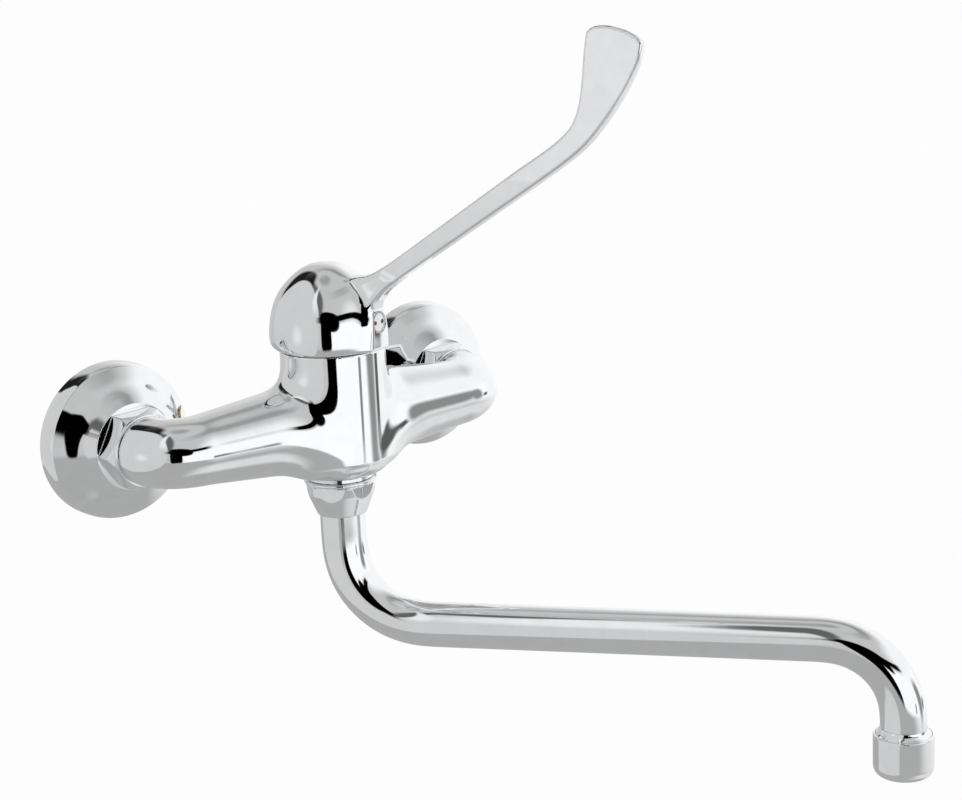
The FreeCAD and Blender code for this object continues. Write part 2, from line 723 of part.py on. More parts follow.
def spout_collar():
    """Flanged sleeve: spigot with two ring grooves above, sleeve in the tube below."""
    groove_depth = 2 * o_ring_r
    profile = [(collar_bore_r, sleeve_bottom), (tube_r - tube_wall, sleeve_bottom),
               (tube_r - tube_wall, flange_bottom), (collar_flange_r, flange_bottom),
               (collar_flange_r, flange_top), (spigot_r, flange_top)]
    groove_r = spigot_r - groove_depth
    for z in sorted(o_ring_heights):
        low = z - groove_half_width
        high = z + groove_half_width
        profile += [(spigot_r, low), (groove_r, low), (groove_r, high), (spigot_r, high)]
    profile += [(spigot_r, collar_top), (collar_bore_r, collar_top)]
    return turned(profile, BARREL)


def spout_o_rings():
    """Two O-rings on the spigot."""
    rings = [Part.makeTorus(spigot_r - o_ring_r, o_ring_r, BARREL + Z * z) for z in o_ring_heights]
    return rings[0].fuse(rings[1:])


def tube_path(top, bottom):
    """Centre line of the S-bend, straight out towards -Y before it is turned."""
    half = math.sqrt(0.5)
    r = upper_bend_r
    q = lower_bend_r
    level = spout_axis_z
    a = along_lever(0, 0, top)
    b = along_lever(0, 0, level + r)
    b_mid = along_lever(r * (1 - half), 0, level + r * (1 - half))
    c = along_lever(r, 0, level)
    e = along_lever(spout_reach - q, 0, level)
    e_mid = along_lever(spout_reach - q * (1 - half), 0, level - q * (1 - half))
    f = along_lever(spout_reach, 0, level - q)
    g = along_lever(spout_reach, 0, bottom)
    edges = [Part.makeLine(a, b), Part.Arc(b, b_mid, c).toShape(), Part.makeLine(c, e),
             Part.Arc(e, e_mid, f).toShape(), Part.makeLine(f, g)]
    return Part.Wire(edges)


def swept_rod(radius, top, bottom):
    """Solid round rod along the S-bend."""
    circle = Part.Wire(Part.Circle(along_lever(0, 0, top), Z, radius).toShape())
    return tube_path(top, bottom).makePipeShell([circle], True, False)


def spout_tube():
    """S-bent tube, open at both ends."""
    return swept_rod(tube_r, tube_top, tube_end).cut(swept_rod(tube_r - tube_wall, tube_top, tube_end))


cap_r = 11.8
cap_rim = -120.4
cap_base = -137.3
holder_thread_r = 10.9
holder_end = -128.5
cap_ledge = -131.9
aerator_lip_r = 8.7
holder_bore_r = 7.8
washer_top = -128.55
washer_bottom = -130.3
aerator_washer_r = 10.7
jet_holes = ((6, 2.6), (12, 5.4))     # count and circle radius
jet_hole_r = 0.6
screen_r = 7.25
screen_range = (-135.9, -135.1)
screen_holes = ((1, 0.0), (6, 1.9), (12, 3.8), (18, 5.7))
screen_hole_r = 0.55
OUTLET = Vector(0, barrel_y - spout_reach, 0)


def aerator_holder():
    """Collar on the tube's end that flares out to the thread for the cap."""
    socket_r = tube_r + solder_gap
    return turned([(socket_r, -117.6), (9.25, -117.6), (9.5, -118.6), (10.0, -119.6), (10.8, -120.4),
                   (holder_thread_r, -120.8), (holder_thread_r, holder_end), (holder_bore_r, holder_end),
                   (holder_bore_r, tube_end), (socket_r, tube_end)], OUTLET)


def aerator_cap():
    """Round cap with a rounded lower edge, threaded onto the holder."""
    return turned([(holder_thread_r + thread_gap, cap_rim), (cap_r - 0.3, cap_rim), (cap_r, cap_rim - 0.3),
                   (cap_r, -133.6), (cap_r - 0.3, -135.0), (cap_r - 1.0, -136.2), (cap_r - 2.0, -137.0),
                   (cap_r - 3.0, cap_base), (aerator_lip_r, cap_base), (aerator_lip_r, cap_ledge),
                   (holder_thread_r + thread_gap, cap_ledge)], OUTLET)


def aerator_washer():
    """Flat seal above the jet former."""
    return ring(aerator_washer_r, holder_bore_r, washer_bottom, washer_top, OUTLET)


def drilled(solid, rings, hole_r):
    """Drill rings of small holes, given as (count, circle radius), right through."""
    holes = []
    for count, circle_r in rings:
        for k in range(count):
            angle = 2 * math.pi * k / count
            x = OUTLET.x + circle_r * math.cos(angle)
            y = OUTLET.y + circle_r * math.sin(angle)
            holes.append(post(hole_r, x, y, cap_base, cap_rim))
    return solid.cut(holes)


def aerator_insert():
    """Jet former: rimmed cup with a drilled top plate."""
    cup = turned([(0, -130.35), (10.7, -130.35), (10.7, -131.85), (8.4, -131.85), (8.4, -136.2),
                  (7.3, -136.2), (7.3, -131.9), (0, -131.9)], OUTLET)
    return drilled(cup, jet_holes, jet_hole_r)


def aerator_screen():
    """Drilled outlet screen in the mouth of the jet former."""
    bottom, top = screen_range
    disc = post(screen_r, OUTLET.x, OUTLET.y, bottom, top)
    return drilled(disc, screen_holes, screen_hole_r)


def glide_ring():
    """Plastic ring between the collar's flange and the nut's shoulder."""
    return ring(pocket_r - running, tube_r + tube_play, nut_shoulder, flange_bottom - running, BARREL)


save("spout_nut", spout_nut())
save("spout_glide_ring", glide_ring())
save("spout_collar", spout_collar())
save("spout_o_rings", spout_o_rings())
for piece_name, piece in (("spout_tube", spout_tube()), ("aerator_holder", aerator_holder()),
                          ("aerator_cap", aerator_cap()), ("aerator_washer", aerator_washer()),
                          ("aerator_insert", aerator_insert()), ("aerator_screen", aerator_screen())):
    save(piece_name, about_barrel(piece, spout_azimuth))
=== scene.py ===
"""A wall-mounted single-lever kitchen tap: its finishes, fine meshes, studio and camera.

Sizes are millimetres and angles are degrees in every class. Meshes are written in metres, in the frame
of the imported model.
"""

import json
import logging
import math
from dataclasses import dataclass, field
from enum import Enum
from typing import Callable, ClassVar, NamedTuple, Sequence

import bpy
import numpy as np
from mathutils import Matrix, Vector


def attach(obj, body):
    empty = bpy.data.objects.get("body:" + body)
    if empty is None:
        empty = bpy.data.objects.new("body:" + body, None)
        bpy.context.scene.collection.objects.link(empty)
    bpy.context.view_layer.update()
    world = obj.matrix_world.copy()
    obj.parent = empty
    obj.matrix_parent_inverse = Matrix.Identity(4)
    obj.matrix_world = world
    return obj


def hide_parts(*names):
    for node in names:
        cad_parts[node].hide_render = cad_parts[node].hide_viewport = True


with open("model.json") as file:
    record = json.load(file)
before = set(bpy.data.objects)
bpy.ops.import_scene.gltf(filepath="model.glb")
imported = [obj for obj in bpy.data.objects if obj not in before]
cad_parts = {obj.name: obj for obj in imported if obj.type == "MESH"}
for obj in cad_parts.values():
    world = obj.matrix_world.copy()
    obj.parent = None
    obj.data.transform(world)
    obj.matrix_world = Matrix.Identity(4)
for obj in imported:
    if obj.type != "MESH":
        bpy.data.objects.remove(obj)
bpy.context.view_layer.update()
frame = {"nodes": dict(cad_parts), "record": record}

LOG = logging.getLogger("tap")
MM = 0.001
TINY = 1e-9
SAME_PLACE = 1e-6
BARREL_Y = -47.2
INLET_X = 75.0
SLOTS = {row["node"]: row["material_slot"] for row in frame["record"]["subparts"]}
Color = tuple[float, float, float]
Triple = tuple[float, float, float]
Corners = Sequence[tuple[float, ...]]
Run = Sequence[tuple[float, float]]
Distance = Callable[[np.ndarray], np.ndarray]


class Mix(Enum):
    """What a mix node blends: its data type, then the numbers of its two inputs and of its output."""

    NUMBER = ("FLOAT", 2, 3, 0)
    COLOR = ("RGBA", 6, 7, 2)


class Graph:
    """A node tree that is written one call per node."""

    def __init__(self, tree: bpy.types.NodeTree) -> None:
        """Keep the tree.

        Args:
            tree: The node tree to fill.
        """
        self.tree = tree

    def add(self, kind: str, inputs: dict | None = None, **settings: object) -> bpy.types.Node:
        """Add a node, set its properties and fill its inputs.

        Args:
            kind: Blender's name of the node type.
            inputs: Socket names or numbers with plain values or output sockets.
            **settings: Properties of the node itself.

        Returns:
            The new node.
        """
        node = self.tree.nodes.new(kind)
        for key, value in settings.items():
            setattr(node, key, value)
        for key, value in (inputs or {}).items():
            socket = node.inputs[key]
            if isinstance(value, bpy.types.NodeSocket):
                self.tree.links.new(value, socket)
            else:
                socket.default_value = value
        return node

    def math(self, operation: str, *values: object) -> bpy.types.NodeSocket:
        """Add a math node.

        Args:
            operation: Name of the operation.
            *values: Its operands, numbers or sockets.

        Returns:
            The result socket.
        """
        return self.add("ShaderNodeMath", dict(enumerate(values)), operation=operation).outputs[0]

    def mix(self, kind: Mix, factor: object, first: object, second: object) -> bpy.types.NodeSocket:
        """Mix two numbers or two colours.

        Args:
            kind: Whether numbers or colours are mixed.
            factor: Share of the second one.
            first: Result at factor 0.
            second: Result at factor 1.

        Returns:
            The result socket.
        """
        data_type, first_input, second_input, output = kind.value
        inputs = {0: factor, first_input: first, second_input: second}
        return self.add("ShaderNodeMix", inputs, data_type=data_type).outputs[output]

    def span(self, value: object, low: float, high: float, out_low: float = 0.0,
             out_high: float = 1.0) -> bpy.types.NodeSocket:
        """Map a value smoothly from one range to another.

        Args:
            value: The value to map.
            low: Where the mapping starts.
            high: Where it ends.
            out_low: Result at low.
            out_high: Result at high.

        Returns:
            The mapped value.
        """
        inputs = {0: value, 1: low, 2: high, 3: out_low, 4: out_high}
        return self.add("ShaderNodeMapRange", inputs, interpolation_type="SMOOTHSTEP").outputs[0]

    def noise(self, place: bpy.types.NodeSocket, scale: object, detail: float,
              roughness: float = 0.5) -> bpy.types.NodeSocket:
        """Add a noise pattern.

        Args:
            place: Where the pattern is read.
            scale: Patches per metre.
            detail: How many finer layers it has.
            roughness: How strong the finer layers are.

        Returns:
            The pattern's value.
        """
        inputs = {"Vector": place, "Scale": scale, "Detail": detail, "Roughness": roughness}
        return self.add("ShaderNodeTexNoise", inputs).outputs[0]


def blank(made: bpy.types.Material | bpy.types.World) -> Graph:
    """Empty the nodes of a new material or world.

    Args:
        made: The material or world.

    Returns:
        Its graph, with no node in it.
    """
    made.use_nodes = True
    made.node_tree.nodes.clear()
    return Graph(made.node_tree)


class Socket(Enum):
    """Kinds of socket on a shared effect."""

    NUMBER = "NodeSocketFloat"
    COLOR = "NodeSocketColor"
    VECTOR = "NodeSocketVector"


class Effect:
    """A shader node group that is built once and placed in many materials."""

    name = ""
    inputs: tuple[tuple[str, Socket, object], ...] = ()
    outputs: tuple[tuple[str, Socket], ...] = ()

    def __init__(self) -> None:
        """Make the group's sockets and fill it."""
        self.tree = bpy.data.node_groups.new(self.name, "ShaderNodeTree")
        for name, kind, value in self.inputs:
            socket = self.tree.interface.new_socket(name=name, in_out="INPUT", socket_type=kind.value)
            socket.default_value = value
        for name, kind in self.outputs:
            self.tree.interface.new_socket(name=name, in_out="OUTPUT", socket_type=kind.value)
        graph = Graph(self.tree)
        source = graph.add("NodeGroupInput")
        sink = graph.add("NodeGroupOutput")
        for name, socket in self.fill(graph, source.outputs).items():
            self.tree.links.new(socket, sink.inputs[name])

    def fill(self, graph: Graph, given: bpy.types.NodeOutputs) -> dict[str, bpy.types.NodeSocket]:
        """Build the group's inside.

        Args:
            graph: The group's graph.
            given: The group's input values.

        Returns:
            Output names with the sockets that feed them.
        """
        raise NotImplementedError

    def place(self, graph: Graph, values: dict[str, object]) -> bpy.types.NodeOutputs:
        """Place the group in a material.

        Args:
            graph: The material's graph.
            values: The group's input values.

        Returns:
            The group's outputs.
        """
        return graph.add("ShaderNodeGroup", values, node_tree=self.tree).outputs


class SurfaceEffect(Effect):
    """An effect that gives a finish its relief, roughness and colour."""

    outputs = (("Height", Socket.NUMBER), ("Roughness", Socket.NUMBER), ("Color", Socket.COLOR))


class PolishedPlate(SurfaceEffect):
    """Long soft waves of a buffed surface, with a faint haze that comes and goes."""

    name = "polished plate"
    inputs = (("Wave Size", Socket.NUMBER, 9.0), ("Haze", Socket.NUMBER, 0.02),
              ("Polish", Socket.NUMBER, 0.03), ("Light", Socket.COLOR, (0.9, 0.9, 0.9, 1.0)),
              ("Deep", Socket.COLOR, (0.8, 0.8, 0.82, 1.0)))
    pits_per_wave = 14.0
    pit_share = 0.02
    patch_roughness = 0.7
    haze_span = (0.45, 0.75)
    tint_span = (0.3, 0.7)

    def fill(self, graph: Graph, given: bpy.types.NodeOutputs) -> dict[str, bpy.types.NodeSocket]:
        """Build waves, haze and tint.

        Args:
            graph: The group's graph.
            given: The group's input values.

        Returns:
            Height, roughness and colour.
        """
        place = graph.add("ShaderNodeTexCoord").outputs["Object"]
        per_metre = graph.math("DIVIDE", 1.0 / MM, given["Wave Size"])
        waves = graph.noise(place, per_metre, 1.0)
        pits = graph.noise(place, graph.math("MULTIPLY", per_metre, self.pits_per_wave), 3.0)
        patches = graph.noise(place, per_metre, 4.0, self.patch_roughness)
        height = graph.math("ADD", waves, graph.math("MULTIPLY", pits, self.pit_share))
        haze = graph.math("MULTIPLY", graph.span(patches, *self.haze_span), given["Haze"])
        tint = graph.mix(Mix.COLOR, graph.span(patches, *self.tint_span), given["Light"], given["Deep"])
        return {"Height": height, "Roughness": graph.math("ADD", given["Polish"], haze), "Color": tint}


class TurnedMetal(SurfaceEffect):
    """Fine rings that a cutting tool leaves, across one axis of the piece."""

    name = "turned metal"
    inputs = (("Axis", Socket.VECTOR, (0.0, 0.0, 1.0)), ("Pitch", Socket.NUMBER, 0.25),
              ("Light", Socket.COLOR, (0.8, 0.8, 0.8, 1.0)), ("Deep", Socket.COLOR, (0.5, 0.5, 0.5, 1.0)),
              ("Base Roughness", Socket.NUMBER, 0.25))
    stains_per_metre = 240.0
    rough_span = (0.3, 0.7, -0.04, 0.06)
    stain_span = (0.35, 0.7)

    def fill(self, graph: Graph, given: bpy.types.NodeOutputs) -> dict[str, bpy.types.NodeSocket]:
        """Build rings along the axis and stains over them.

        Args:
            graph: The group's graph.
            given: The group's input values.

        Returns:
            Height, roughness and colour.
        """
        place = graph.add("ShaderNodeTexCoord").outputs["Object"]
        along = graph.add("ShaderNodeVectorMath", {0: place, 1: given["Axis"]}, operation="DOT_PRODUCT")
        turns = graph.math("DIVIDE", along.outputs["Value"], graph.math("MULTIPLY", given["Pitch"], MM))
        rings = graph.add("ShaderNodeTexNoise", {"W": turns, "Scale": 1.0, "Detail": 2.0},
                          noise_dimensions="1D").outputs[0]
        stains = graph.noise(place, self.stains_per_metre, 5.0)
        rough = graph.math("ADD", given["Base Roughness"], graph.span(rings, *self.rough_span))
        tint = graph.mix(Mix.COLOR, graph.span(stains, *self.stain_span), given["Light"], given["Deep"])
        return {"Height": rings, "Roughness": rough, "Color": tint}


class MouldedGrain(SurfaceEffect):
    """Fine grain of a moulded, pressed or ground surface with slightly uneven colour."""

    name = "moulded grain"
    inputs = (("Grain Size", Socket.NUMBER, 0.4), ("Light", Socket.COLOR, (0.8, 0.8, 0.8, 1.0)),
              ("Deep", Socket.COLOR, (0.7, 0.7, 0.7, 1.0)), ("Base Roughness", Socket.NUMBER, 0.4))
    clouds_per_metre = 180.0
    rough_span = (0.35, 0.65, -0.05, 0.05)
    cloud_span = (0.35, 0.65)

    def fill(self, graph: Graph, given: bpy.types.NodeOutputs) -> dict[str, bpy.types.NodeSocket]:
        """Build grain and cloudy colour.

        Args:
            graph: The group's graph.
            given: The group's input values.

        Returns:
            Height, roughness and colour.
        """
        place = graph.add("ShaderNodeTexCoord").outputs["Object"]
        grain = graph.noise(place, graph.math("DIVIDE", 1.0 / MM, given["Grain Size"]), 2.0)
        clouds = graph.noise(place, self.clouds_per_metre, 4.0)
        rough = graph.math("ADD", given["Base Roughness"], graph.span(grain, *self.rough_span))
        tint = graph.mix(Mix.COLOR, graph.span(clouds, *self.cloud_span), given["Light"], given["Deep"])
        return {"Height": grain, "Roughness": rough, "Color": tint}


@dataclass(frozen=True)
class Finish:
    """What every finish holds: a name, two tones and the depth of its relief."""

    effect: ClassVar[type[Effect]] = SurfaceEffect
    name: str
    light: Color
    deep: Color
    metallic: float = 0.0
    relief: float = 0.02
    coat: float = 0.0

    def values(self) -> dict[str, object]:
        """Say how this finish sets its effect, apart from the two tones."""
        raise NotImplementedError

    def material(self, effect: Effect) -> bpy.types.Material:
        """Build the material of this finish.

        Args:
            effect: The shared effect that this finish shows.

        Returns:
            The material.
        """
        made = bpy.data.materials.new(self.name)
        graph = blank(made)
        tones = {"Light": (*self.light, 1.0), "Deep": (*self.deep, 1.0)}
        look = effect.place(graph, self.values() | tones)
        bump = graph.add("ShaderNodeBump", {"Height": look["Height"], "Strength": 1.0,
                                            "Distance": self.relief * MM})
        shader = graph.add("ShaderNodeBsdfPrincipled", {
            "Base Color": look["Color"], "Roughness": look["Roughness"], "Metallic": self.metallic,
            "Coat Weight": self.coat, "Normal": bump.outputs[0]})
        graph.add("ShaderNodeOutputMaterial", {"Surface": shader.outputs[0]})
        return made


@dataclass(frozen=True)
class PlateFinish(Finish):
    """Chrome plate, buffed before plating."""

    effect: ClassVar[type[Effect]] = PolishedPlate
    metallic: float = 1.0
    relief: float = 0.006
    wave_size: float = 9.0
    polish: float = 0.03
    haze: float = 0.03

    def values(self) -> dict[str, object]:
        """Say how this finish sets the polished plate effect."""
        return {"Wave Size": self.wave_size, "Polish": self.polish, "Haze": self.haze}


@dataclass(frozen=True)
class TurnedFinish(Finish):
    """Turned metal with tool rings across one axis."""

    effect: ClassVar[type[Effect]] = TurnedMetal
    metallic: float = 1.0
    relief: float = 0.02
    axis: Triple = (0.0, 0.0, 1.0)
    pitch: float = 0.25
    roughness: float = 0.25

    def values(self) -> dict[str, object]:
        """Say how this finish sets the turned metal effect."""
        return {"Axis": self.axis, "Pitch": self.pitch, "Base Roughness": self.roughness}


@dataclass(frozen=True)
class GrainFinish(Finish):
    """Plastic, rubber, enamel or ceramic with a fine grain."""

    effect: ClassVar[type[Effect]] = MouldedGrain
    grain_size: float = 0.4
    roughness: float = 0.4

    def values(self) -> dict[str, object]:
        """Say how this finish sets the moulded grain effect."""
        return {"Grain Size": self.grain_size, "Base Roughness": self.roughness}


CHROME = PlateFinish("chrome plate", (0.86, 0.865, 0.875), (0.82, 0.825, 0.835))
BRASS_TO_WALL = TurnedFinish("brass turned along the wall pipes", (0.78, 0.60, 0.30), (0.60, 0.42, 0.18),
                             axis=(0.0, 1.0, 0.0))
BRASS_UPRIGHT = TurnedFinish("brass turned upright", (0.78, 0.60, 0.30), (0.62, 0.45, 0.20))
STEEL = TurnedFinish("stainless steel", (0.66, 0.66, 0.67), (0.52, 0.52, 0.53), roughness=0.22, pitch=0.15)
RUBBER = GrainFinish("black rubber", (0.035, 0.035, 0.035), (0.018, 0.018, 0.02), relief=0.03,
                     grain_size=0.3, roughness=0.7)
SHELL_PLASTIC = GrainFinish("off-white moulded plastic", (0.80, 0.79, 0.74), (0.70, 0.69, 0.63))
GUIDE_PLASTIC = GrainFinish("dark moulded plastic", (0.07, 0.085, 0.12), (0.04, 0.05, 0.07), roughness=0.35)
CERAMIC = GrainFinish("ground ceramic", (0.85, 0.84, 0.80), (0.78, 0.77, 0.72), relief=0.004,
                      grain_size=0.1, roughness=0.12)
JET_PLASTIC = GrainFinish("pale moulded plastic", (0.80, 0.81, 0.82), (0.70, 0.71, 0.73), roughness=0.3)
INDEX_WHITE = GrainFinish("button face", (0.93, 0.93, 0.93), (0.88, 0.88, 0.89), relief=0.004,
                          roughness=0.15, coat=0.6)
INDEX_RED = GrainFinish("hot dot", (0.12, 0.004, 0.012), (0.08, 0.003, 0.008), relief=0.004,
                        roughness=0.2, coat=0.6)
INDEX_BLUE = GrainFinish("cold dot", (0.010, 0.03, 0.06), (0.006, 0.02, 0.04), relief=0.004,
                         roughness=0.2, coat=0.6)
SLOT_FINISHES = {"chrome": CHROME, "brass": BRASS_UPRIGHT, "steel": STEEL, "rubber": RUBBER,
                 "shell_plastic": SHELL_PLASTIC, "guide_plastic": GUIDE_PLASTIC, "ceramic": CERAMIC,
                 "jet_plastic": JET_PLASTIC, "index_white": INDEX_WHITE, "index_red": INDEX_RED,
                 "index_blue": INDEX_BLUE}


class Wardrobe:
    """Hands out one material per finish, and builds each shared effect once."""

    def __init__(self) -> None:
        """Start with no effect and no material."""
        self.effects: dict[type[Effect], Effect] = {}
        self.made: dict[str, bpy.types.Material] = {}

    def dress(self, piece: bpy.types.Object, finish: Finish) -> None:
        """Give a piece one finish all over.

        Args:
            piece: The object to dress.
            finish: Its finish.
        """
        if finish.effect not in self.effects:
            self.effects[finish.effect] = finish.effect()
        if finish.name not in self.made:
            self.made[finish.name] = finish.material(self.effects[finish.effect])
        piece.data.materials.clear()
        piece.data.materials.append(self.made[finish.name])


def smooth_curve(points: Run, step: float) -> np.ndarray:
    """Lay a natural cubic spline through points; two points make a straight line.

    Args:
        points: The points, in millimetres.
        step: Rough distance between samples.

    Returns:
        Samples along the curve, its two ends among them.
    """
    knots = np.array(points, float)
    chord = np.concatenate([[0.0], np.cumsum(np.linalg.norm(np.diff(knots, axis=0), axis=1))])
    count = max(2, int(chord[-1] / step) + 1)
    places = np.linspace(0.0, chord[-1], count)
    if len(knots) == 2:
        return knots[0] + (knots[1] - knots[0]) * (places / chord[-1])[:, None]
    gaps = np.diff(chord)
    slopes = np.diff(knots, axis=0) / gaps[:, None]
    system = np.eye(len(knots))
    bend = np.zeros_like(knots)
    for k in range(1, len(knots) - 1):
        system[k, k - 1:k + 2] = gaps[k - 1], 2 * (gaps[k - 1] + gaps[k]), gaps[k]
        bend[k] = 6 * (slopes[k] - slopes[k - 1])
    bend = np.linalg.solve(system, bend)
    span = np.clip(np.searchsorted(chord, places, side="right") - 1, 0, len(gaps) - 1)
    gap = gaps[span][:, None]
    after = (places - chord[span])[:, None]
    before = gap - after
    return ((bend[span] * before ** 3 + bend[span + 1] * after ** 3) / (6 * gap)
            + (knots[span] / gap - bend[span] * gap / 6) * before
            + (knots[span + 1] / gap - bend[span + 1] * gap / 6) * after)


def moves_on(line: np.ndarray) -> np.ndarray:
    """Tell which points of a closed line stand apart from the point before them."""
    return np.linalg.norm(line - np.roll(line, 1, axis=0), axis=1) > SAME_PLACE


class Outline:
    """Signed distance to a closed flat outline, kept on a fine grid and read smoothly."""

    def __init__(self, runs: Sequence[Run], step: float = 0.5, margin: float = 14.0,
                 mirrored: bool = False) -> None:
        """Measure the distance at every point of the grid.

        Args:
            runs: Runs of points that follow one another; each is a smooth curve or a straight line.
            step: Spacing of the grid and of the samples on the outline.
            margin: Width of the grid round the outline.
            mirrored: True where the runs are the right half of a symmetric outline, from top to bottom.
        """
        line = np.concatenate([smooth_curve(run, step) for run in runs])
        if mirrored:
            line = np.concatenate([line, (line * (-1, 1))[::-1]])
        line = line[moves_on(line)]
        self.step = step
        self.low = line.min(axis=0) - margin
        counts = np.ceil((line.max(axis=0) + margin - self.low) / step).astype(int) + 1
        a, b = np.meshgrid(self.low[0] + step * np.arange(counts[0]),
                           self.low[1] + step * np.arange(counts[1]), indexing="ij")
        nearest = np.full(a.shape, np.inf)
        inside = np.zeros(a.shape, bool)
        for (x0, y0), (x1, y1) in zip(line, np.roll(line, -1, axis=0)):
            run, rise = x1 - x0, y1 - y0
            along = np.clip(((a - x0) * run + (b - y0) * rise) / (run * run + rise * rise), 0, 1)
            nearest = np.minimum(nearest, (a - x0 - along * run) ** 2 + (b - y0 - along * rise) ** 2)
            if rise != 0:
                inside ^= ((y0 > b) != (y1 > b)) & (a < run * (b - y0) / rise + x0)
        self.table = np.where(inside, -1, 1) * np.sqrt(nearest)

    def __call__(self, a: np.ndarray, b: np.ndarray) -> np.ndarray:
        """Read the distance at points.

        Args:
            a: First coordinates.
            b: Second coordinates.

        Returns:
            Signed distances, negative inside.
        """
        # A reading takes one grid point before its place and two after it.
        last = np.array(self.table.shape) - 3
        i = np.clip((a - self.low[0]) / self.step, 1, last[0])
        j = np.clip((b - self.low[1]) / self.step, 1, last[1])
        beyond = np.hypot(a - self.low[0] - i * self.step, b - self.low[1] - j * self.step)
        i0, j0 = i.astype(int), j.astype(int)
        weights_i, weights_j = self.weights(i - i0), self.weights(j - j0)
        total = np.zeros(np.shape(i))
        for m, weight in enumerate(weights_i):
            row = np.zeros(np.shape(i))
            for n, share in enumerate(weights_j):
                row += share * self.table[i0 + m - 1, j0 + n - 1]
            total += weight * row
        return total + beyond

    @staticmethod
    def weights(t: np.ndarray) -> tuple[np.ndarray, ...]:
        """Weights of the four grid points round a place, for a smooth reading.

        Args:
            t: Place between the two middle points, from 0 to 1.

        Returns:
            Four weights.
        """
        u = 1 - t
        return (u ** 3 / 6, (3 * t ** 3 - 6 * t ** 2 + 4) / 6, (3 * u ** 3 - 6 * u ** 2 + 4) / 6, t ** 3 / 6)


def join(first: np.ndarray, second: np.ndarray, reach: float | np.ndarray) -> np.ndarray:
    """Join two distances with a smooth blend.

    Args:
        first: Distances to one solid.
        second: Distances to the other.
        reach: How far apart the two distances may be where they still blend.

    Returns:
        Distances to the blended solid.
    """
    near = np.maximum(reach - np.abs(first - second), 0) / reach
    return np.minimum(first, second) - near ** 3 * reach / 6


def common(first: np.ndarray, second: np.ndarray, reach: float | np.ndarray) -> np.ndarray:
    """Keep what is inside two solids, with a softened edge.

    Args:
        first: Distances to one solid.
        second: Distances to the other.
        reach: How wide the softened edge is.

    Returns:
        Distances to the common part.
    """
    return -join(-first, -second, reach)


def cut(solid: np.ndarray, tool: np.ndarray, reach: float = 0.0) -> np.ndarray:
    """Take one solid away from another.

    Args:
        solid: Distances to the solid that stays.
        tool: Distances to what is taken away.
        reach: Rounding of the new edge; 0 leaves it sharp.

    Returns:
        Distances to what is left.
    """
    return np.maximum(solid, -tool) if reach == 0 else common(solid, -tool, reach)


def slab(along: np.ndarray, start: float, end: float) -> np.ndarray:
    """Distance to what lies between two flat ends.

    Args:
        along: Place along the direction from one end to the other.
        start: Where it starts.
        end: Where it ends.

    Returns:
        Distances to the slab.
    """
    return np.maximum(start - along, along - end)


class Rod(NamedTuple):
    """A straight round or square shape: half its width, and its ends along its axis."""

    half: float
    start: float
    end: float

    def distance(self, across: np.ndarray, along: np.ndarray) -> np.ndarray:
        """Distance to the rod.

        Args:
            across: Distance to its axis.
            along: Place along its axis.

        Returns:
            Signed distances.
        """
        return np.maximum(across - self.half, slab(along, self.start, self.end))


def eased(side: np.ndarray, other: np.ndarray, radius: float) -> np.ndarray:
    """Keep what is inside two shapes, with their common edge rounded.

    Args:
        side: Distance to one shape.
        other: Distance to the other.
        radius: Radius of the edge.

    Returns:
        Distances to the common part.
    """
    a, b = side + radius, other + radius
    return np.minimum(np.maximum(a, b), 0) + np.hypot(np.maximum(a, 0), np.maximum(b, 0)) - radius


def gradual(place: np.ndarray, start: float, end: float) -> np.ndarray:
    """Share of the way from one place to another, from 0 to 1."""
    return np.clip((start - place) / (start - end), 0, 1)


@dataclass
class CellSums:
    """What the surface points on the edges of each grid cell add up to."""

    PAIRS: ClassVar[tuple[tuple[int, int], ...]] = ((0, 0), (1, 1), (2, 2), (0, 1), (0, 2), (1, 2))
    size: int

    def __post_init__(self) -> None:
        """Start every sum at nothing."""
        self.count = np.zeros(self.size)
        self.normals, self.points, self.pulls = (np.zeros((self.size, 3)) for _ in range(3))
        self.products = np.zeros((self.size, len(self.PAIRS)))

    def add(self, cells: np.ndarray, points: np.ndarray, normals: np.ndarray) -> None:
        """Count one surface point in for each of the cells.

        Args:
            cells: Numbers of the cells.
            points: The surface point of each.
            normals: The surface's direction there.
        """
        pulls = normals * (normals * points).sum(axis=1)[:, None]
        for target, source in ((self.normals, normals), (self.points, points), (self.pulls, pulls)):
            for k in range(3):
                target[:, k] += np.bincount(cells, source[:, k], self.size)
        for k, (i, j) in enumerate(self.PAIRS):
            self.products[:, k] += np.bincount(cells, normals[:, i] * normals[:, j], self.size)
        self.count += np.bincount(cells, minlength=self.size)

    def system(self, used: np.ndarray) -> np.ndarray:
        """Write the sums of the cells as symmetric matrices.

        Args:
            used: Numbers of the cells.

        Returns:
            A matrix for each cell.
        """
        matrices = np.zeros((len(used), 3, 3))
        for k, (i, j) in enumerate(self.PAIRS):
            matrices[:, i, j] = matrices[:, j, i] = self.products[used, k]
        return matrices


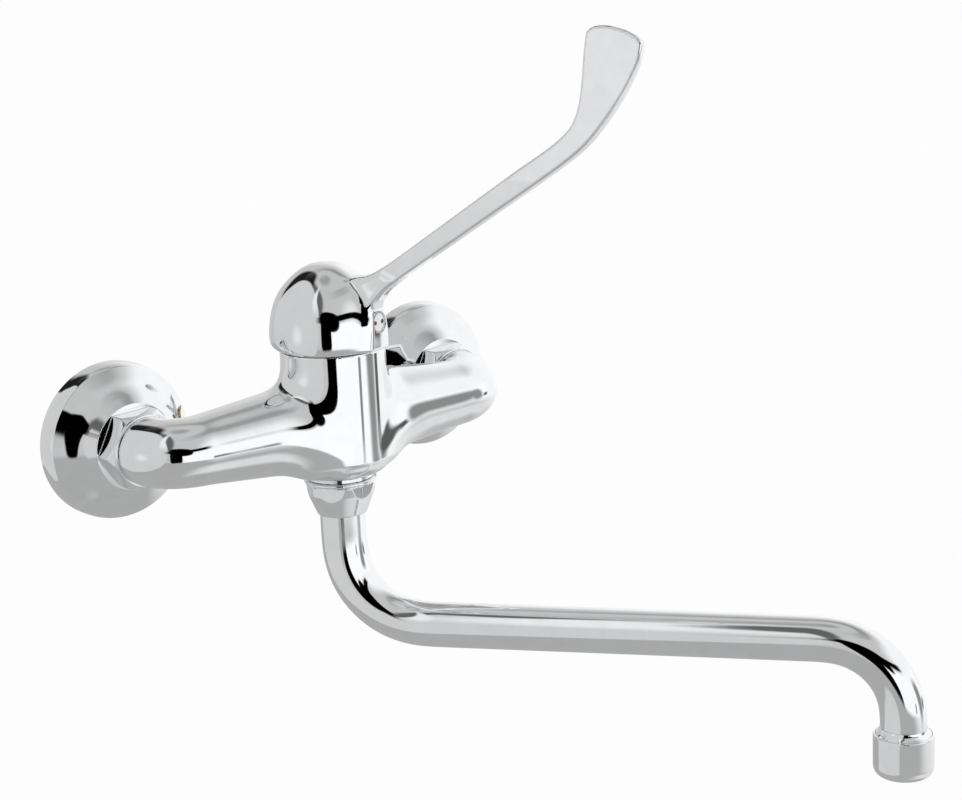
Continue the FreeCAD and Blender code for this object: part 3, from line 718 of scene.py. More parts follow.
class Mesher:
    """Turns a signed distance into a mesh of four-sided faces with crisp edges and true normals."""

    # How far apart the distance is measured for its slope.
    NUDGE = 0.01
    # Grid points along a block that is measured or skipped as a whole, how near the surface it is measured,
    # counted in blocks, and how many blocks go into one measurement.
    BLOCK = 8
    NEAR = 1.1
    BATCH = 200
    # Rounds of search for the surface along a grid edge, and of settling a vertex onto it by short strides.
    SEARCHES = 4
    SETTLINGS = 2
    STRIDE = 0.3
    # How strongly a vertex is drawn to the middle of its surface points.
    CALM = 0.02
    # Directions round a vertex that add up to less than this share of their count mark a crisp edge, where
    # a face's normal is read this far in from its corner.
    CRISP = 0.985
    INWARD = 0.3

    def __init__(self, solid: Distance, low: Sequence[float], high: Sequence[float], cell: float) -> None:
        """Keep the solid and lay out the grid.

        Args:
            solid: Signed distance of points, in millimetres.
            low: Lowest corner of the grid.
            high: Highest corner of the grid.
            cell: Size of a grid cell.
        """
        self.solid = solid
        self.cell = cell
        self.low = np.array(low, float)
        self.shape = np.ceil((np.array(high, float) - self.low) / cell).astype(int) + 1

    def slope(self, points: np.ndarray) -> np.ndarray:
        """Direction in which the distance grows.

        Args:
            points: Where to measure it.

        Returns:
            Unit vectors.
        """
        nudges = self.NUDGE * np.eye(3)
        vectors = np.stack([self.solid(points + n) - self.solid(points - n) for n in nudges], axis=1)
        return vectors / np.maximum(np.linalg.norm(vectors, axis=1), TINY)[:, None]

    def sampled(self) -> np.ndarray:
        """Measure the distance on the grid, only near the surface.

        Returns:
            Distances at the grid's points.
        """
        block = self.BLOCK
        counts = -(-self.shape // block)
        corners = np.stack(np.meshgrid(*(np.arange(n) for n in counts), indexing="ij"), axis=-1)
        corners = corners.reshape(-1, 3)
        rough = self.solid(self.low + (corners * block + (block - 1) / 2) * self.cell)
        near = np.abs(rough) < block * self.cell * self.NEAR
        values = np.empty(counts * block)
        tiles = values.reshape(counts[0], block, counts[1], block, counts[2], block)
        tiles[:] = rough.reshape(counts)[:, None, :, None, :, None]
        inner = np.stack(np.meshgrid(*(np.arange(block),) * 3, indexing="ij"), axis=-1)
        for part in np.array_split(corners[near], max(1, int(near.sum()) // self.BATCH)):
            places = self.low + (part[:, None, None, None, :] * block + inner) * self.cell
            measured = self.solid(places.reshape(-1, 3)).reshape(places.shape[:-1])
            tiles[part[:, 0], :, part[:, 1], :, part[:, 2], :] = measured
        return values[:self.shape[0], :self.shape[1], :self.shape[2]]

    def crossings(self, values: np.ndarray, axis: int) -> tuple[np.ndarray, np.ndarray, np.ndarray]:
        """Find where grid edges along one axis pass through the surface.

        Args:
            values: Distances on the grid.
            axis: The axis of the edges.

        Returns:
            Grid places of the edges' starts, the points of the surface, and whether an edge leaves the solid.
        """
        start = np.take(values, np.arange(values.shape[axis] - 1), axis=axis)
        end = np.take(values, np.arange(1, values.shape[axis]), axis=axis)
        places = np.argwhere((start < 0) != (end < 0))
        near, far = start[tuple(places.T)], end[tuple(places.T)]
        leaves = near < 0
        direction = np.eye(3)[axis]
        base = self.low + places * self.cell
        low_t, high_t = np.zeros(len(places)), np.ones(len(places))
        for _ in range(self.SEARCHES):
            t = np.clip(low_t + (high_t - low_t) * near / (near - far), low_t, high_t)
            value = self.solid(base + (t * self.cell)[:, None] * direction)
            same = (value < 0) == (near < 0)
            low_t, near = np.where(same, t, low_t), np.where(same, value, near)
            high_t, far = np.where(same, high_t, t), np.where(same, far, value)
        t = low_t + (high_t - low_t) * near / (near - far)
        return places, base + (t * self.cell)[:, None] * direction, leaves

    def gathered(self) -> tuple[CellSums, np.ndarray]:
        """Gather the surface points of every cell, and the faces between cells.

        Returns:
            The sums, and four cell numbers for each face.
        """
        values = self.sampled()
        cells = self.shape - 1
        weight = np.array([cells[1] * cells[2], cells[2], 1])
        sums = CellSums(int(np.prod(cells)))
        faces = []
        for axis in range(3):
            places, points, leaves = self.crossings(values, axis)
            b, c = (axis + 1) % 3, (axis + 2) % 3
            inner = ((places[:, b] > 0) & (places[:, c] > 0) & (places[:, b] < cells[b])
                     & (places[:, c] < cells[c]))
            places, points, leaves = places[inner], points[inner], leaves[inner]
            normals = self.slope(points)
            corners = []
            for back_b, back_c in ((1, 1), (0, 1), (0, 0), (1, 0)):
                shifted = places.copy()
                shifted[:, b] -= back_b
                shifted[:, c] -= back_c
                corners.append(shifted @ weight)
                sums.add(corners[-1], points, normals)
            quads = np.stack(corners, axis=1)
            quads[~leaves] = quads[~leaves][:, ::-1]
            faces.append(quads)
        return sums, np.concatenate(faces)

    def settled(self, sums: CellSums, used: np.ndarray) -> np.ndarray:
        """Place a vertex in each cell, where the surfaces through its points meet.

        Args:
            sums: Sums of the surface points.
            used: Numbers of the cells.

        Returns:
            The vertices.
        """
        total = sums.count[used]
        middle = sums.points[used] / total[:, None]
        system = sums.system(used)
        rest = sums.pulls[used] - np.einsum("nij,nj->ni", system, middle)
        system += (self.CALM * total)[:, None, None] * np.eye(3)
        corner = self.low + np.stack(np.unravel_index(used, self.shape - 1), axis=1) * self.cell
        vertices = middle + np.linalg.solve(system, rest[..., None])[..., 0]
        vertices = np.clip(vertices, corner, corner + self.cell)
        stride = self.STRIDE * self.cell
        for _ in range(self.SETTLINGS):
            step = self.solid(vertices)[:, None] * self.slope(vertices)
            vertices = vertices - np.clip(step, -stride, stride)
        return vertices

    def build(self, name: str) -> bpy.types.Object:
        """Build the mesh.

        Args:
            name: Name of the new object.

        Returns:
            The object, in metres.
        """
        sums, faces = self.gathered()
        used = np.flatnonzero(sums.count)
        number = np.full(sums.size, -1)
        number[used] = np.arange(len(used))
        faces = number[faces]
        corners = faces.reshape(-1)
        vertices = self.settled(sums, used)
        crisp = np.linalg.norm(sums.normals[used], axis=1) / sums.count[used] < self.CRISP
        sharp = crisp[corners]
        loops = self.slope(vertices)[corners]
        centres = np.repeat(vertices[faces].mean(axis=1), 4, axis=0)
        inward = (1 - self.INWARD) * vertices[corners] + self.INWARD * centres
        loops[sharp] = self.slope(inward[sharp])
        return finished_mesh(name, vertices, faces, loops)


def finished_mesh(name: str, vertices: np.ndarray, faces: np.ndarray, loops: np.ndarray) -> bpy.types.Object:
    """Make an object from arrays.

    Args:
        name: Name of the object.
        vertices: Points in millimetres.
        faces: Four vertex numbers per face.
        loops: A normal for each face corner.

    Returns:
        The object, in metres.
    """
    mesh = bpy.data.meshes.new(name)
    mesh.vertices.add(len(vertices))
    mesh.vertices.foreach_set("co", (vertices * MM).astype(np.float32).ravel())
    mesh.loops.add(faces.size)
    mesh.loops.foreach_set("vertex_index", faces.astype(np.int32).ravel())
    mesh.polygons.add(len(faces))
    mesh.polygons.foreach_set("loop_start", np.arange(0, faces.size, faces.shape[1], dtype=np.int32))
    mesh.polygons.foreach_set("use_smooth", np.ones(len(faces), bool))
    mesh.update(calc_edges=True)
    mesh.normals_split_custom_set(loops.tolist())
    return linked(name, mesh)


def linked(name: str, mesh: bpy.types.Mesh) -> bpy.types.Object:
    """Make an object of a mesh and link it to the scene.

    Args:
        name: Name of the object.
        mesh: Its mesh.

    Returns:
        The object.
    """
    piece = bpy.data.objects.new(name, mesh)
    bpy.context.scene.collection.objects.link(piece)
    return piece


def band(low: int, high: int, count: int) -> np.ndarray:
    """Lay faces between two rings of points.

    Args:
        low: Number of the first point of one ring.
        high: Number of the first point of the other.
        count: How many points each ring has.

    Returns:
        Four point numbers per face.
    """
    here = np.arange(count)
    after = (here + 1) % count
    return np.stack([low + here, low + after, high + after, high + here], axis=1)


def band_normals(low: np.ndarray, high: np.ndarray) -> np.ndarray:
    """Give the faces between two rings their corner normals.

    Args:
        low: Normals along one ring.
        high: Normals along the other.

    Returns:
        Four normals per face, in the order of its points.
    """
    return np.stack([low, np.roll(low, -1, axis=0), np.roll(high, -1, axis=0), high], axis=1)


def eased_line(corners: Corners, bow: float = 7.0, taken: float = 0.499) -> tuple[np.ndarray, np.ndarray]:
    """Round the corners of a closed profile with arcs.

    Args:
        corners: Radius, height and, where the corner is rounded, its radius, all in millimetres.
        bow: Degrees between samples of an arc.
        taken: The most that an arc may take of each straight stretch beside it, as a share.

    Returns:
        The profile's points, and its outward normals at them; a crisp corner comes twice.
    """
    places = np.array([row[:2] for row in corners], float)
    eases = [row[2] if len(row) > 2 else 0.0 for row in corners]
    x, y = places.T
    if np.sum(x * np.roll(y, -1) - np.roll(x, -1) * y) < 0:
        places, eases = places[::-1], eases[::-1]
    points, normals = [], []
    for k, here in enumerate(places):
        arriving, leaving = here - places[k - 1], places[(k + 1) % len(places)] - here
        reach = taken * min(np.linalg.norm(arriving), np.linalg.norm(leaving))
        first, last = arriving / np.linalg.norm(arriving), leaving / np.linalg.norm(leaving)
        turn = math.atan2(first[0] * last[1] - first[1] * last[0], float(first @ last))
        tangent = min(eases[k] * math.tan(abs(turn) / 2), reach)
        radius = tangent / math.tan(abs(turn) / 2) if abs(turn) > SAME_PLACE else 0.0
        count = max(2, int(math.degrees(abs(turn)) / bow) + 2)
        side = np.array([first[1], -first[0]])
        middle = here - first * tangent - math.copysign(radius, turn) * side
        for share in np.linspace(0.0, 1.0, count if radius > 0 else 2):
            angle = turn * share
            normal = np.array([side[0] * math.cos(angle) - side[1] * math.sin(angle),
                               side[0] * math.sin(angle) + side[1] * math.cos(angle)])
            points.append(middle + math.copysign(radius, turn) * normal if radius > 0 else here)
            normals.append(normal)
    return np.array(points), np.array(normals)


@dataclass(frozen=True)
class Axis:
    """Where a turned piece's axis runs: upright, or level towards the wall."""

    x: float
    y: float
    z: float
    level: bool = False

    def frame(self) -> np.ndarray:
        """Two directions across the axis, then the one along it."""
        return np.array([[0, 0, 1], [1, 0, 0], [0, 1, 0]] if self.level else np.eye(3), float)


def turned(name: str, corners: Corners, axis: Axis, turns: int = 144) -> bpy.types.Object:
    """Turn a closed profile round an axis.

    Args:
        name: Name of the new piece.
        corners: The profile, as eased_line takes it; heights are measured along the axis.
        axis: Where the axis runs.
        turns: How many faces go round.

    Returns:
        The piece.
    """
    line, outward = eased_line(corners)
    apart = moves_on(line)
    ring_of = (np.cumsum(apart) - 1) % apart.sum()
    rings = line[apart]
    angles = np.linspace(0, 2 * math.pi, turns, endpoint=False)
    across, other, along = axis.frame()
    round_way = np.cos(angles)[:, None] * across + np.sin(angles)[:, None] * other
    vertices = (rings[:, None, :1] * round_way + rings[:, None, 1:] * along).reshape(-1, 3)
    vertices += np.array([axis.x, axis.y, axis.z])
    facing = outward[:, None, :1] * round_way + outward[:, None, 1:] * along
    faces, loops = [], []
    for k in range(len(line)):
        following = (k + 1) % len(line)
        if apart[following]:
            faces.append(band(ring_of[k] * turns, ring_of[following] * turns, turns))
            loops.append(band_normals(facing[k], facing[following]))
    return finished_mesh(name, vertices, np.concatenate(faces), np.concatenate(loops).reshape(-1, 3))


def moved_copy(piece: bpy.types.Object, name: str, shift: float) -> bpy.types.Object:
    """Copy a piece's mesh to one side, its finish left off.

    Args:
        piece: The piece.
        name: Name of the copy.
        shift: How far along X, in millimetres.

    Returns:
        The copy.
    """
    mesh = piece.data.copy()
    mesh.name = name
    mesh.transform(Matrix.Translation((shift * MM, 0, 0)))
    return linked(name, mesh)


def fitted(piece: bpy.types.Object, body: str, node: str, finish: Finish, wardrobe: Wardrobe) -> None:
    """Dress a piece, let it ride on its body and let it stand for its CAD node.

    Args:
        piece: The new piece.
        body: The body that it rides on.
        node: The CAD node that it replaces.
        finish: Its finish.
        wardrobe: Where finishes come from.
    """
    wardrobe.dress(piece, finish)
    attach(piece, body)
    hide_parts(node)
    LOG.info("%s on %s in %s, %d faces", piece.name, body, finish.name, len(piece.data.polygons))


@dataclass
class LeverHandle:
    """Domed cap, nose with the button's seat, and the long lever with its upturned end."""

    azimuth: float = 20.0
    cap_shift: float = -1.7
    rim_z: float = 31.15
    cap_outer: Run = ((0, 64.4), (5.0, 63.8), (9.8, 61.7), (14.1, 58.3), (17.5, 54.6), (20.1, 50.3),
                      (21.9, 45.0), (22.8, 40.0), (23.1, 35.0), (22.9, 31.15), (22.4, 25.0))
    cap_inner: Run = ((0, 59.5), (5.0, 59.0), (9.5, 57.3), (13.4, 54.3), (16.6, 50.4), (18.9, 46.0),
                      (20.3, 41.0), (21.0, 36.0), (21.15, 31.15), (21.2, 25.0))
    top: Run = ((89.1, 103.8), (95.6, 107.8), (101.6, 111.6), (106.7, 115.3), (110.7, 119.0),
                (113.2, 122.9), (114.7, 127.0), (115.9, 133.1), (116.6, 139.0), (117.3, 146.0),
                (118.4, 153.4))
    end: Run = ((118.4, 153.4), (120.7, 155.0), (124.2, 155.7), (127.5, 155.6), (131.4, 154.8),
                (134.2, 154.0), (137.0, 152.7), (139.6, 150.9), (140.6, 149.4))
    under: Run = ((140.6, 149.4), (139.7, 144.6), (137.3, 139.1), (131.4, 129.6), (124.3, 120.6),
                  (117.4, 113.3), (107.5, 105.8), (96.9, 98.9))
    rise: Run = ((12.0, 57.5), (15.0, 59.3), (20.0, 60.5), (26.6, 63.6), (33.3, 67.6))
    fall: Run = ((43.1, 65.2), (33.7, 59.3), (27.0, 54.4), (22.6, 49.2), (19.0, 44.0))
    root: Run = ((19.0, 44.0), (12.0, 48.0), (12.0, 57.5))
    nose: Run = ((22.3, 25.0), (22.3, 35.0), (22.6, 39.0), (22.6, 43.0), (22.3, 46.6), (23.2, 50.2),
                 (27.4, 54.8), (33.7, 59.6))
    nose_back: Run = ((33.7, 59.6), (27.0, 62.6), (12.0, 56.0), (12.0, 25.0), (22.3, 25.0))
    flank_z: tuple[float, ...] = (25.0, 34.0, 38.0, 42.0, 46.0, 50.0, 55.0, 64.0)
    flank_w: tuple[float, ...] = (7.4, 6.7, 6.4, 6.1, 5.2, 4.3, 3.8, 3.7)
    half_width: float = 3.7
    tip_half_width: float = 1.6
    thin_from: float = 100.0
    thin_to: float = 157.0
    lever_edge: float = 1.1
    nose_edge: float = 2.4
    nose_blend: float = 3.0
    cap_blend: float = 8.0
    # The rim is rounded more towards the back, from the first of two places along the lever to the second.
    rim_round: float = 1.2
    rim_round_more: float = 5.5
    rim_round_way: tuple[float, float] = (6.0, -16.0)
    void_edge: float = 0.6
    # The hub takes the spindle and the boss takes the screw.
    hub: Rod = Rod(8.0, 41.0, 60.5)
    screw_z: float = 42.1
    screw_boss: Rod = Rod(4.2, 6.0, 20.0)
    spindle_hole: Rod = Rod(3.55, 40.0, 51.8)
    screw_holes: tuple[Rod, ...] = (Rod(2.55, 0.0, 12.0), Rod(2.8, 12.0, 21.0), Rod(4.35, 20.0, 28.0))
    grid: tuple[Triple, Triple] = ((-26, -182, 30), (52, -22, 157))
    cell: float = 0.7
    shapes: dict[str, Outline] = field(init=False)

    def __post_init__(self) -> None:
        """Measure the flat outlines that the casting is made of."""
        self.shapes = {
            "cap": Outline((self.cap_outer,), mirrored=True),
            "void": Outline((self.cap_inner,), mirrored=True),
            "blade": Outline((self.rise, (self.rise[-1], self.top[0]), self.top, self.end, self.under,
                              (self.under[-1], self.fall[0]), self.fall, self.root[:2], self.root[1:])),
            "nose": Outline((self.nose,) + tuple(zip(self.nose_back, self.nose_back[1:]))),
        }

    def local(self, p: np.ndarray) -> tuple[np.ndarray, np.ndarray, np.ndarray]:
        """Turn points into the lever's own directions.

        Args:
            p: Points in the frame.

        Returns:
            Place along the lever, place across it, and height.
        """
        turn = math.radians(self.azimuth)
        x, y, z = p.T
        out = BARREL_Y - y
        return x * math.sin(turn) + out * math.cos(turn), x * math.cos(turn) - out * math.sin(turn), z

    def outside(self, s: np.ndarray, w: np.ndarray, z: np.ndarray) -> np.ndarray:
        """Distance to the outer skin.

        Args:
            s: Place along the lever.
            w: Place across it.
            z: Height.

        Returns:
            Signed distances.
        """
        cap = self.shapes["cap"](np.hypot(s - self.cap_shift, w), z)
        thinned = gradual(z, self.thin_from, self.thin_to)
        width = self.half_width + (self.tip_half_width - self.half_width) * thinned
        blade = eased(self.shapes["blade"](s, z), np.abs(w) - width, self.lever_edge)
        flank = np.abs(w) - np.interp(z, self.flank_z, self.flank_w)
        nose = eased(self.shapes["nose"](s, z), flank, self.nose_edge)
        return join(join(blade, nose, self.nose_blend), cap, self.cap_blend)

    def solid(self, p: np.ndarray) -> np.ndarray:
        """Distance to the whole casting, with its hollows.

        Args:
            p: Points.

        Returns:
            Signed distances.
        """
        s, w, z = self.local(p)
        rounding = self.rim_round + self.rim_round_more * gradual(s, *self.rim_round_way)
        shell = common(self.outside(s, w, z), self.rim_z - z, rounding)
        shell = cut(shell, self.shapes["void"](np.hypot(s - self.cap_shift, w), z), self.void_edge)
        screw = np.hypot(w, z - self.screw_z)
        hub = self.hub.distance(np.hypot(s, w), z)
        shell = np.minimum(shell, np.minimum(hub, self.screw_boss.distance(screw, s)))
        shell = cut(shell, self.spindle_hole.distance(np.maximum(np.abs(s), np.abs(w)), z))
        for hole in self.screw_holes:
            shell = cut(shell, hole.distance(screw, s))
        return shell

    def build(self, wardrobe: Wardrobe) -> None:
        """Build and dress the handle.

        Args:
            wardrobe: Where finishes come from.
        """
        piece = Mesher(self.solid, *self.grid, self.cell).build("lever_handle_cast")
        fitted(piece, "handle", "lever_handle", CHROME, wardrobe)


@dataclass
class MixerBody:
    """Cast body: upright barrel, two tapering arms with elbows, outlet boss and water ways."""

    barrel_r: float = 20.8
    top: float = 30.8
    bottom: float = -20.0
    bottom_round: float = 7.3
    arm_y: float = -43.0
    arm_root_r: float = 19.3
    arm_tip_r: float = 13.4
    taper_ease: float = 4.0
    elbow_r: float = 13.5
    face_y: float = -29.0
    edge: float = 0.8
    # The blend of barrel and arms reaches further low in front, from one height down to the other, and it
    # fades where the two surfaces face the same way.
    blend: float = 12.5
    low_blend: float = 24.0
    low_blend_z: tuple[float, float] = (10.0, -10.0)
    front_gain: float = 2.0
    front_start: float = 0.4
    blend_left: float = 0.02
    blend_fade: int = 4
    # Bosses and hollows are a radius and the place where they end. A port is its place across the barrel and
    # its lowest height, and a peg hole its radius, its distance from the barrel's axis and its lowest height.
    boss: tuple[float, float] = (12.4, -27.0)
    boss_ring: tuple[float, float] = (13.3, -21.9)
    boss_top: float = -15.0
    boss_edge: float = 0.4
    chamber: tuple[float, float] = (17.6, 8.0)
    chamber_mouth: tuple[float, float] = (18.7, 24.6)
    outlet: tuple[float, float] = (9.1, -10.0)
    ports: tuple[Triple, ...] = ((-6.2, 3.0, 0.0), (6.2, 3.0, 0.0), (0.0, -6.0, -11.0))
    port_r: float = 2.7
    peg_hole: Triple = (1.95, 12.2, 5.5)
    bore_r: float = 6.5
    bore_start: float = 4.4
    nipple: tuple[float, float] = (9.65, -38.0)
    # How far a hollow is cut past an open face, and into the hollow that it leads to.
    beyond: float = 9.0
    overlap: float = 1.0
    grid: tuple[Triple, Triple] = ((-91, -70, -29), (91, -27, 33))
    cell: float = 0.8

    def outside(self, p: np.ndarray) -> np.ndarray:
        """Distance to the outer skin.

        Args:
            p: Points.

        Returns:
            Signed distances.
        """
        x, y, z = p.T
        out = y - BARREL_Y
        rho = np.hypot(x, out)
        side = rho - (self.barrel_r - self.bottom_round)
        below = self.bottom + self.bottom_round - z
        side_part, low_part = np.maximum(side, 0), np.maximum(below, 0)
        barrel = np.minimum(np.maximum(side, below), 0) + np.hypot(side_part, low_part) - self.bottom_round
        far = np.abs(x)
        bend_x, bend_y = INLET_X - self.elbow_r, self.arm_y + self.elbow_r
        slope = (self.arm_root_r - self.arm_tip_r) / bend_x
        ahead = bend_x - far
        widened = self.arm_tip_r + slope * (ahead + np.sqrt(ahead ** 2 + self.taper_ease ** 2)) / 2
        narrowed = self.arm_tip_r + slope * self.taper_ease / 2 * np.exp(ahead / self.taper_ease)
        straight = np.hypot(y - self.arm_y, z)
        turn = np.hypot(np.hypot(far - bend_x, y - bend_y) - self.elbow_r, z)
        stub = np.hypot(far - INLET_X, z)
        centre = np.where(far < bend_x, straight, np.where(y < bend_y, turn, stub))
        arm = common(centre - np.where(far < bend_x, widened, narrowed), y - self.face_y, self.edge)
        steep = np.hypot(side_part, low_part) + TINY
        flat = np.where(side_part + low_part > 0, side_part / steep, 1.0)
        fall = np.where(side_part + low_part > 0, low_part / steep, 0.0)
        alike = (flat * out / (rho + TINY) * (y - self.arm_y) - fall * z) / (straight + TINY)
        lower = gradual(z, *self.low_blend_z)
        front = (self.arm_y - y) / (straight + TINY) * self.front_gain - self.front_start
        lower, front = (part * part * (3 - 2 * part) for part in (lower, np.clip(front, 0, 1)))
        reach = self.blend + (self.low_blend - self.blend) * lower * front
        return join(barrel, arm, reach * (1 + self.blend_left - np.clip(alike, 0, 1) ** self.blend_fade))

    def solid(self, p: np.ndarray) -> np.ndarray:
        """Distance to the whole casting, with its hollows.

        Args:
            p: Points.

        Returns:
            Signed distances.
        """
        x, y, z = p.T
        out = y - BARREL_Y
        rho = np.hypot(x, out)
        body = common(self.outside(p), z - self.top, self.edge)
        for radius, low in (self.boss, self.boss_ring):
            body = np.minimum(body, common(rho - radius, slab(z, low, self.boss_top), self.boss_edge))
        for radius, low in (self.chamber, self.chamber_mouth):
            body = cut(body, Rod(radius, low, self.top + self.beyond).distance(rho, z))
        outlet_r, outlet_top = self.outlet
        body = cut(body, Rod(outlet_r, self.boss[1] - self.beyond, outlet_top).distance(rho, z))
        floor = self.chamber[1] + self.overlap
        for port_x, port_y, low in self.ports:
            body = cut(body, Rod(self.port_r, low, floor).distance(np.hypot(x - port_x, out - port_y), z))
        peg_r, peg_y, low = self.peg_hole
        body = cut(body, Rod(peg_r, low, floor).distance(np.hypot(x, np.abs(out) - peg_y), z))
        far = np.abs(x)
        across_arm = np.hypot(y - self.arm_y, z)
        body = cut(body, Rod(self.bore_r, self.bore_start, INLET_X).distance(across_arm, far))
        mouth = np.hypot(far - INLET_X, z)
        mouth_y = self.face_y + self.beyond
        body = cut(body, Rod(self.bore_r, self.arm_y, mouth_y).distance(mouth, y))
        thread_r, thread_y = self.nipple
        return cut(body, Rod(thread_r, thread_y, mouth_y).distance(mouth, y))

    def build(self, wardrobe: Wardrobe) -> None:
        """Build and dress the body.

        Args:
            wardrobe: Where finishes come from.
        """
        piece = Mesher(self.solid, *self.grid, self.cell).build("mixer_body_cast")
        fitted(piece, "tap_body", "mixer_body", CHROME, wardrobe)


@dataclass
class InletSet:
    """Rose, eccentric union and union nut of the two inlets, built once and copied across."""

    rose: Corners = ((31.0, 0.0, 0.3), (31.0, -3.6, 30.0), (30.7, -6.2, 12.0), (29.9, -8.1, 1.2),
                     (25.4, -11.7, 60.0), (21.3, -14.6, 40.0), (16.9, -18.8, 0.6), (13.6, -19.1, 0.3),
                     (13.5, -17.6, 0.3), (16.2, -17.3, 1.0), (20.6, -13.3, 20.0), (24.8, -10.4, 20.0),
                     (28.2, -7.4, 10.0), (29.7, -3.8, 10.0), (29.8, 0.0, 0.3))
    rose_turns: int = 192
    # The nut's hexagon, the chamfer before it, the thin ring in front and the bores. A mouth, a room or a way
    # is a radius and the place where it ends. Grids are laid round the inlet's axis.
    flat_half: float = 14.2
    first_flat: float = 33.0
    nut_edge: float = 0.7
    nut_y: tuple[float, float] = (-28.2, -19.15)
    chamfer_r: float = 14.1
    chamfer_way: tuple[float, float] = (0.8, 0.6)
    ring: Rod = Rod(14.2, -28.8, -27.0)
    ring_edge: float = 0.6
    nut_mouth: tuple[float, float] = (13.2, -25.8)
    nut_bore: float = 10.2
    nut_cell: float = 0.36
    nut_grid: tuple[Triple, Triple] = ((-17.3, -29.4, -17.3), (17.4, -18.2, 17.4))
    # The union's thread, whose axis lies lower by the drop, then its head and bores.
    drop: float = 6.0
    crest_r: float = 10.48
    thread_depth: float = 1.16
    pitch: float = 1.814
    flank_gain: float = 1.2
    crest_flat: float = 0.1
    thread_scale: float = 0.8
    lead_y: float = 13.2
    thread_y: tuple[float, float] = (-2.0, 14.0)
    head: Rod = Rod(13.15, -21.3, 0.0)
    head_edge: float = 0.6
    room: tuple[float, float] = (7.5, -5.0)
    way: tuple[float, float] = (5.5, -9.0)
    mouth_edge: float = 0.2
    bore_edge: float = 0.3
    union_cell: float = 0.42
    union_grid: tuple[Triple, Triple] = ((-14.1, -22.2, -17.3), (14.2, 14.9, 14.2))

    def nut(self, p: np.ndarray) -> np.ndarray:
        """Distance to the left union nut: hexagon, front chamfer, thin ring and bores.

        Args:
            p: Points in millimetres.

        Returns:
            Signed distances.
        """
        u, y, w = p[:, 0] + INLET_X, p[:, 1], p[:, 2]
        rho = np.hypot(u, w)
        angles = [math.radians(self.first_flat + 60 * k) for k in range(6)]
        first, *others = [u * math.cos(a) + w * math.sin(a) - self.flat_half for a in angles]
        nut = first
        for face in others:
            nut = common(nut, face, self.nut_edge)
        across, along = self.chamfer_way
        chamfer = across * (rho - self.chamfer_r) - along * (y - self.nut_y[0])
        nut = common(common(nut, chamfer, self.nut_edge), slab(y, *self.nut_y), self.nut_edge)
        ring = common(rho - self.ring.half, slab(y, self.ring.start, self.ring.end), self.ring_edge)
        mouth_r, mouth_y = self.nut_mouth
        nut = cut(np.minimum(nut, ring), np.maximum(rho - mouth_r, mouth_y - y), self.mouth_edge)
        return cut(nut, rho - self.nut_bore, self.bore_edge)

    def union(self, p: np.ndarray) -> np.ndarray:
        """Distance to the left eccentric union, with its pipe thread.

        Args:
            p: Points in millimetres.

        Returns:
            Signed distances.
        """
        u, y, w = p[:, 0] + INLET_X, p[:, 1], p[:, 2]
        rho = np.hypot(u, w)
        low = np.hypot(u, w + self.drop)
        turn = np.arctan2(w + self.drop, u) / (2 * math.pi)
        saw = np.abs(np.mod(y / self.pitch - turn, 1.0) - 0.5) * 2
        crest = self.crest_r - self.thread_depth * np.clip(self.flank_gain * saw - self.crest_flat, 0, 1)
        crest = np.minimum(crest, self.crest_r - np.maximum(0, y - self.lead_y))
        thread = np.maximum(self.thread_scale * (low - crest), slab(y, *self.thread_y))
        head = common(rho - self.head.half, slab(y, self.head.start, self.head.end), self.head_edge)
        room_r, room_y = self.room
        solid = cut(np.minimum(head, thread), np.maximum(rho - room_r, y - room_y), self.bore_edge)
        way_r, way_y = self.way
        return cut(solid, np.maximum(low - way_r, way_y - y), self.bore_edge)

    def build(self, wardrobe: Wardrobe) -> None:
        """Build the three pieces of the left inlet and copy them to the right one.

        Args:
            wardrobe: Where finishes come from.
        """
        left = np.array([-INLET_X, 0.0, 0.0])
        nut = Mesher(self.nut, *(left + corner for corner in self.nut_grid), self.nut_cell)
        union = Mesher(self.union, *(left + corner for corner in self.union_grid), self.union_cell)
        made = {
            "rosette": (turned("rose_left", self.rose, Axis(*left, level=True), self.rose_turns), CHROME),
            "union_nut": (nut.build("nut_left"), CHROME),
            "wall_union": (union.build("union_left"), BRASS_TO_WALL),
        }
        for node, (piece, finish) in made.items():
            copy = moved_copy(piece, piece.name.replace("left", "right"), 2 * INLET_X)
            fitted(piece, "tap_body", node + "_left", finish, wardrobe)
            fitted(copy, "tap_body", node + "_right", finish, wardrobe)


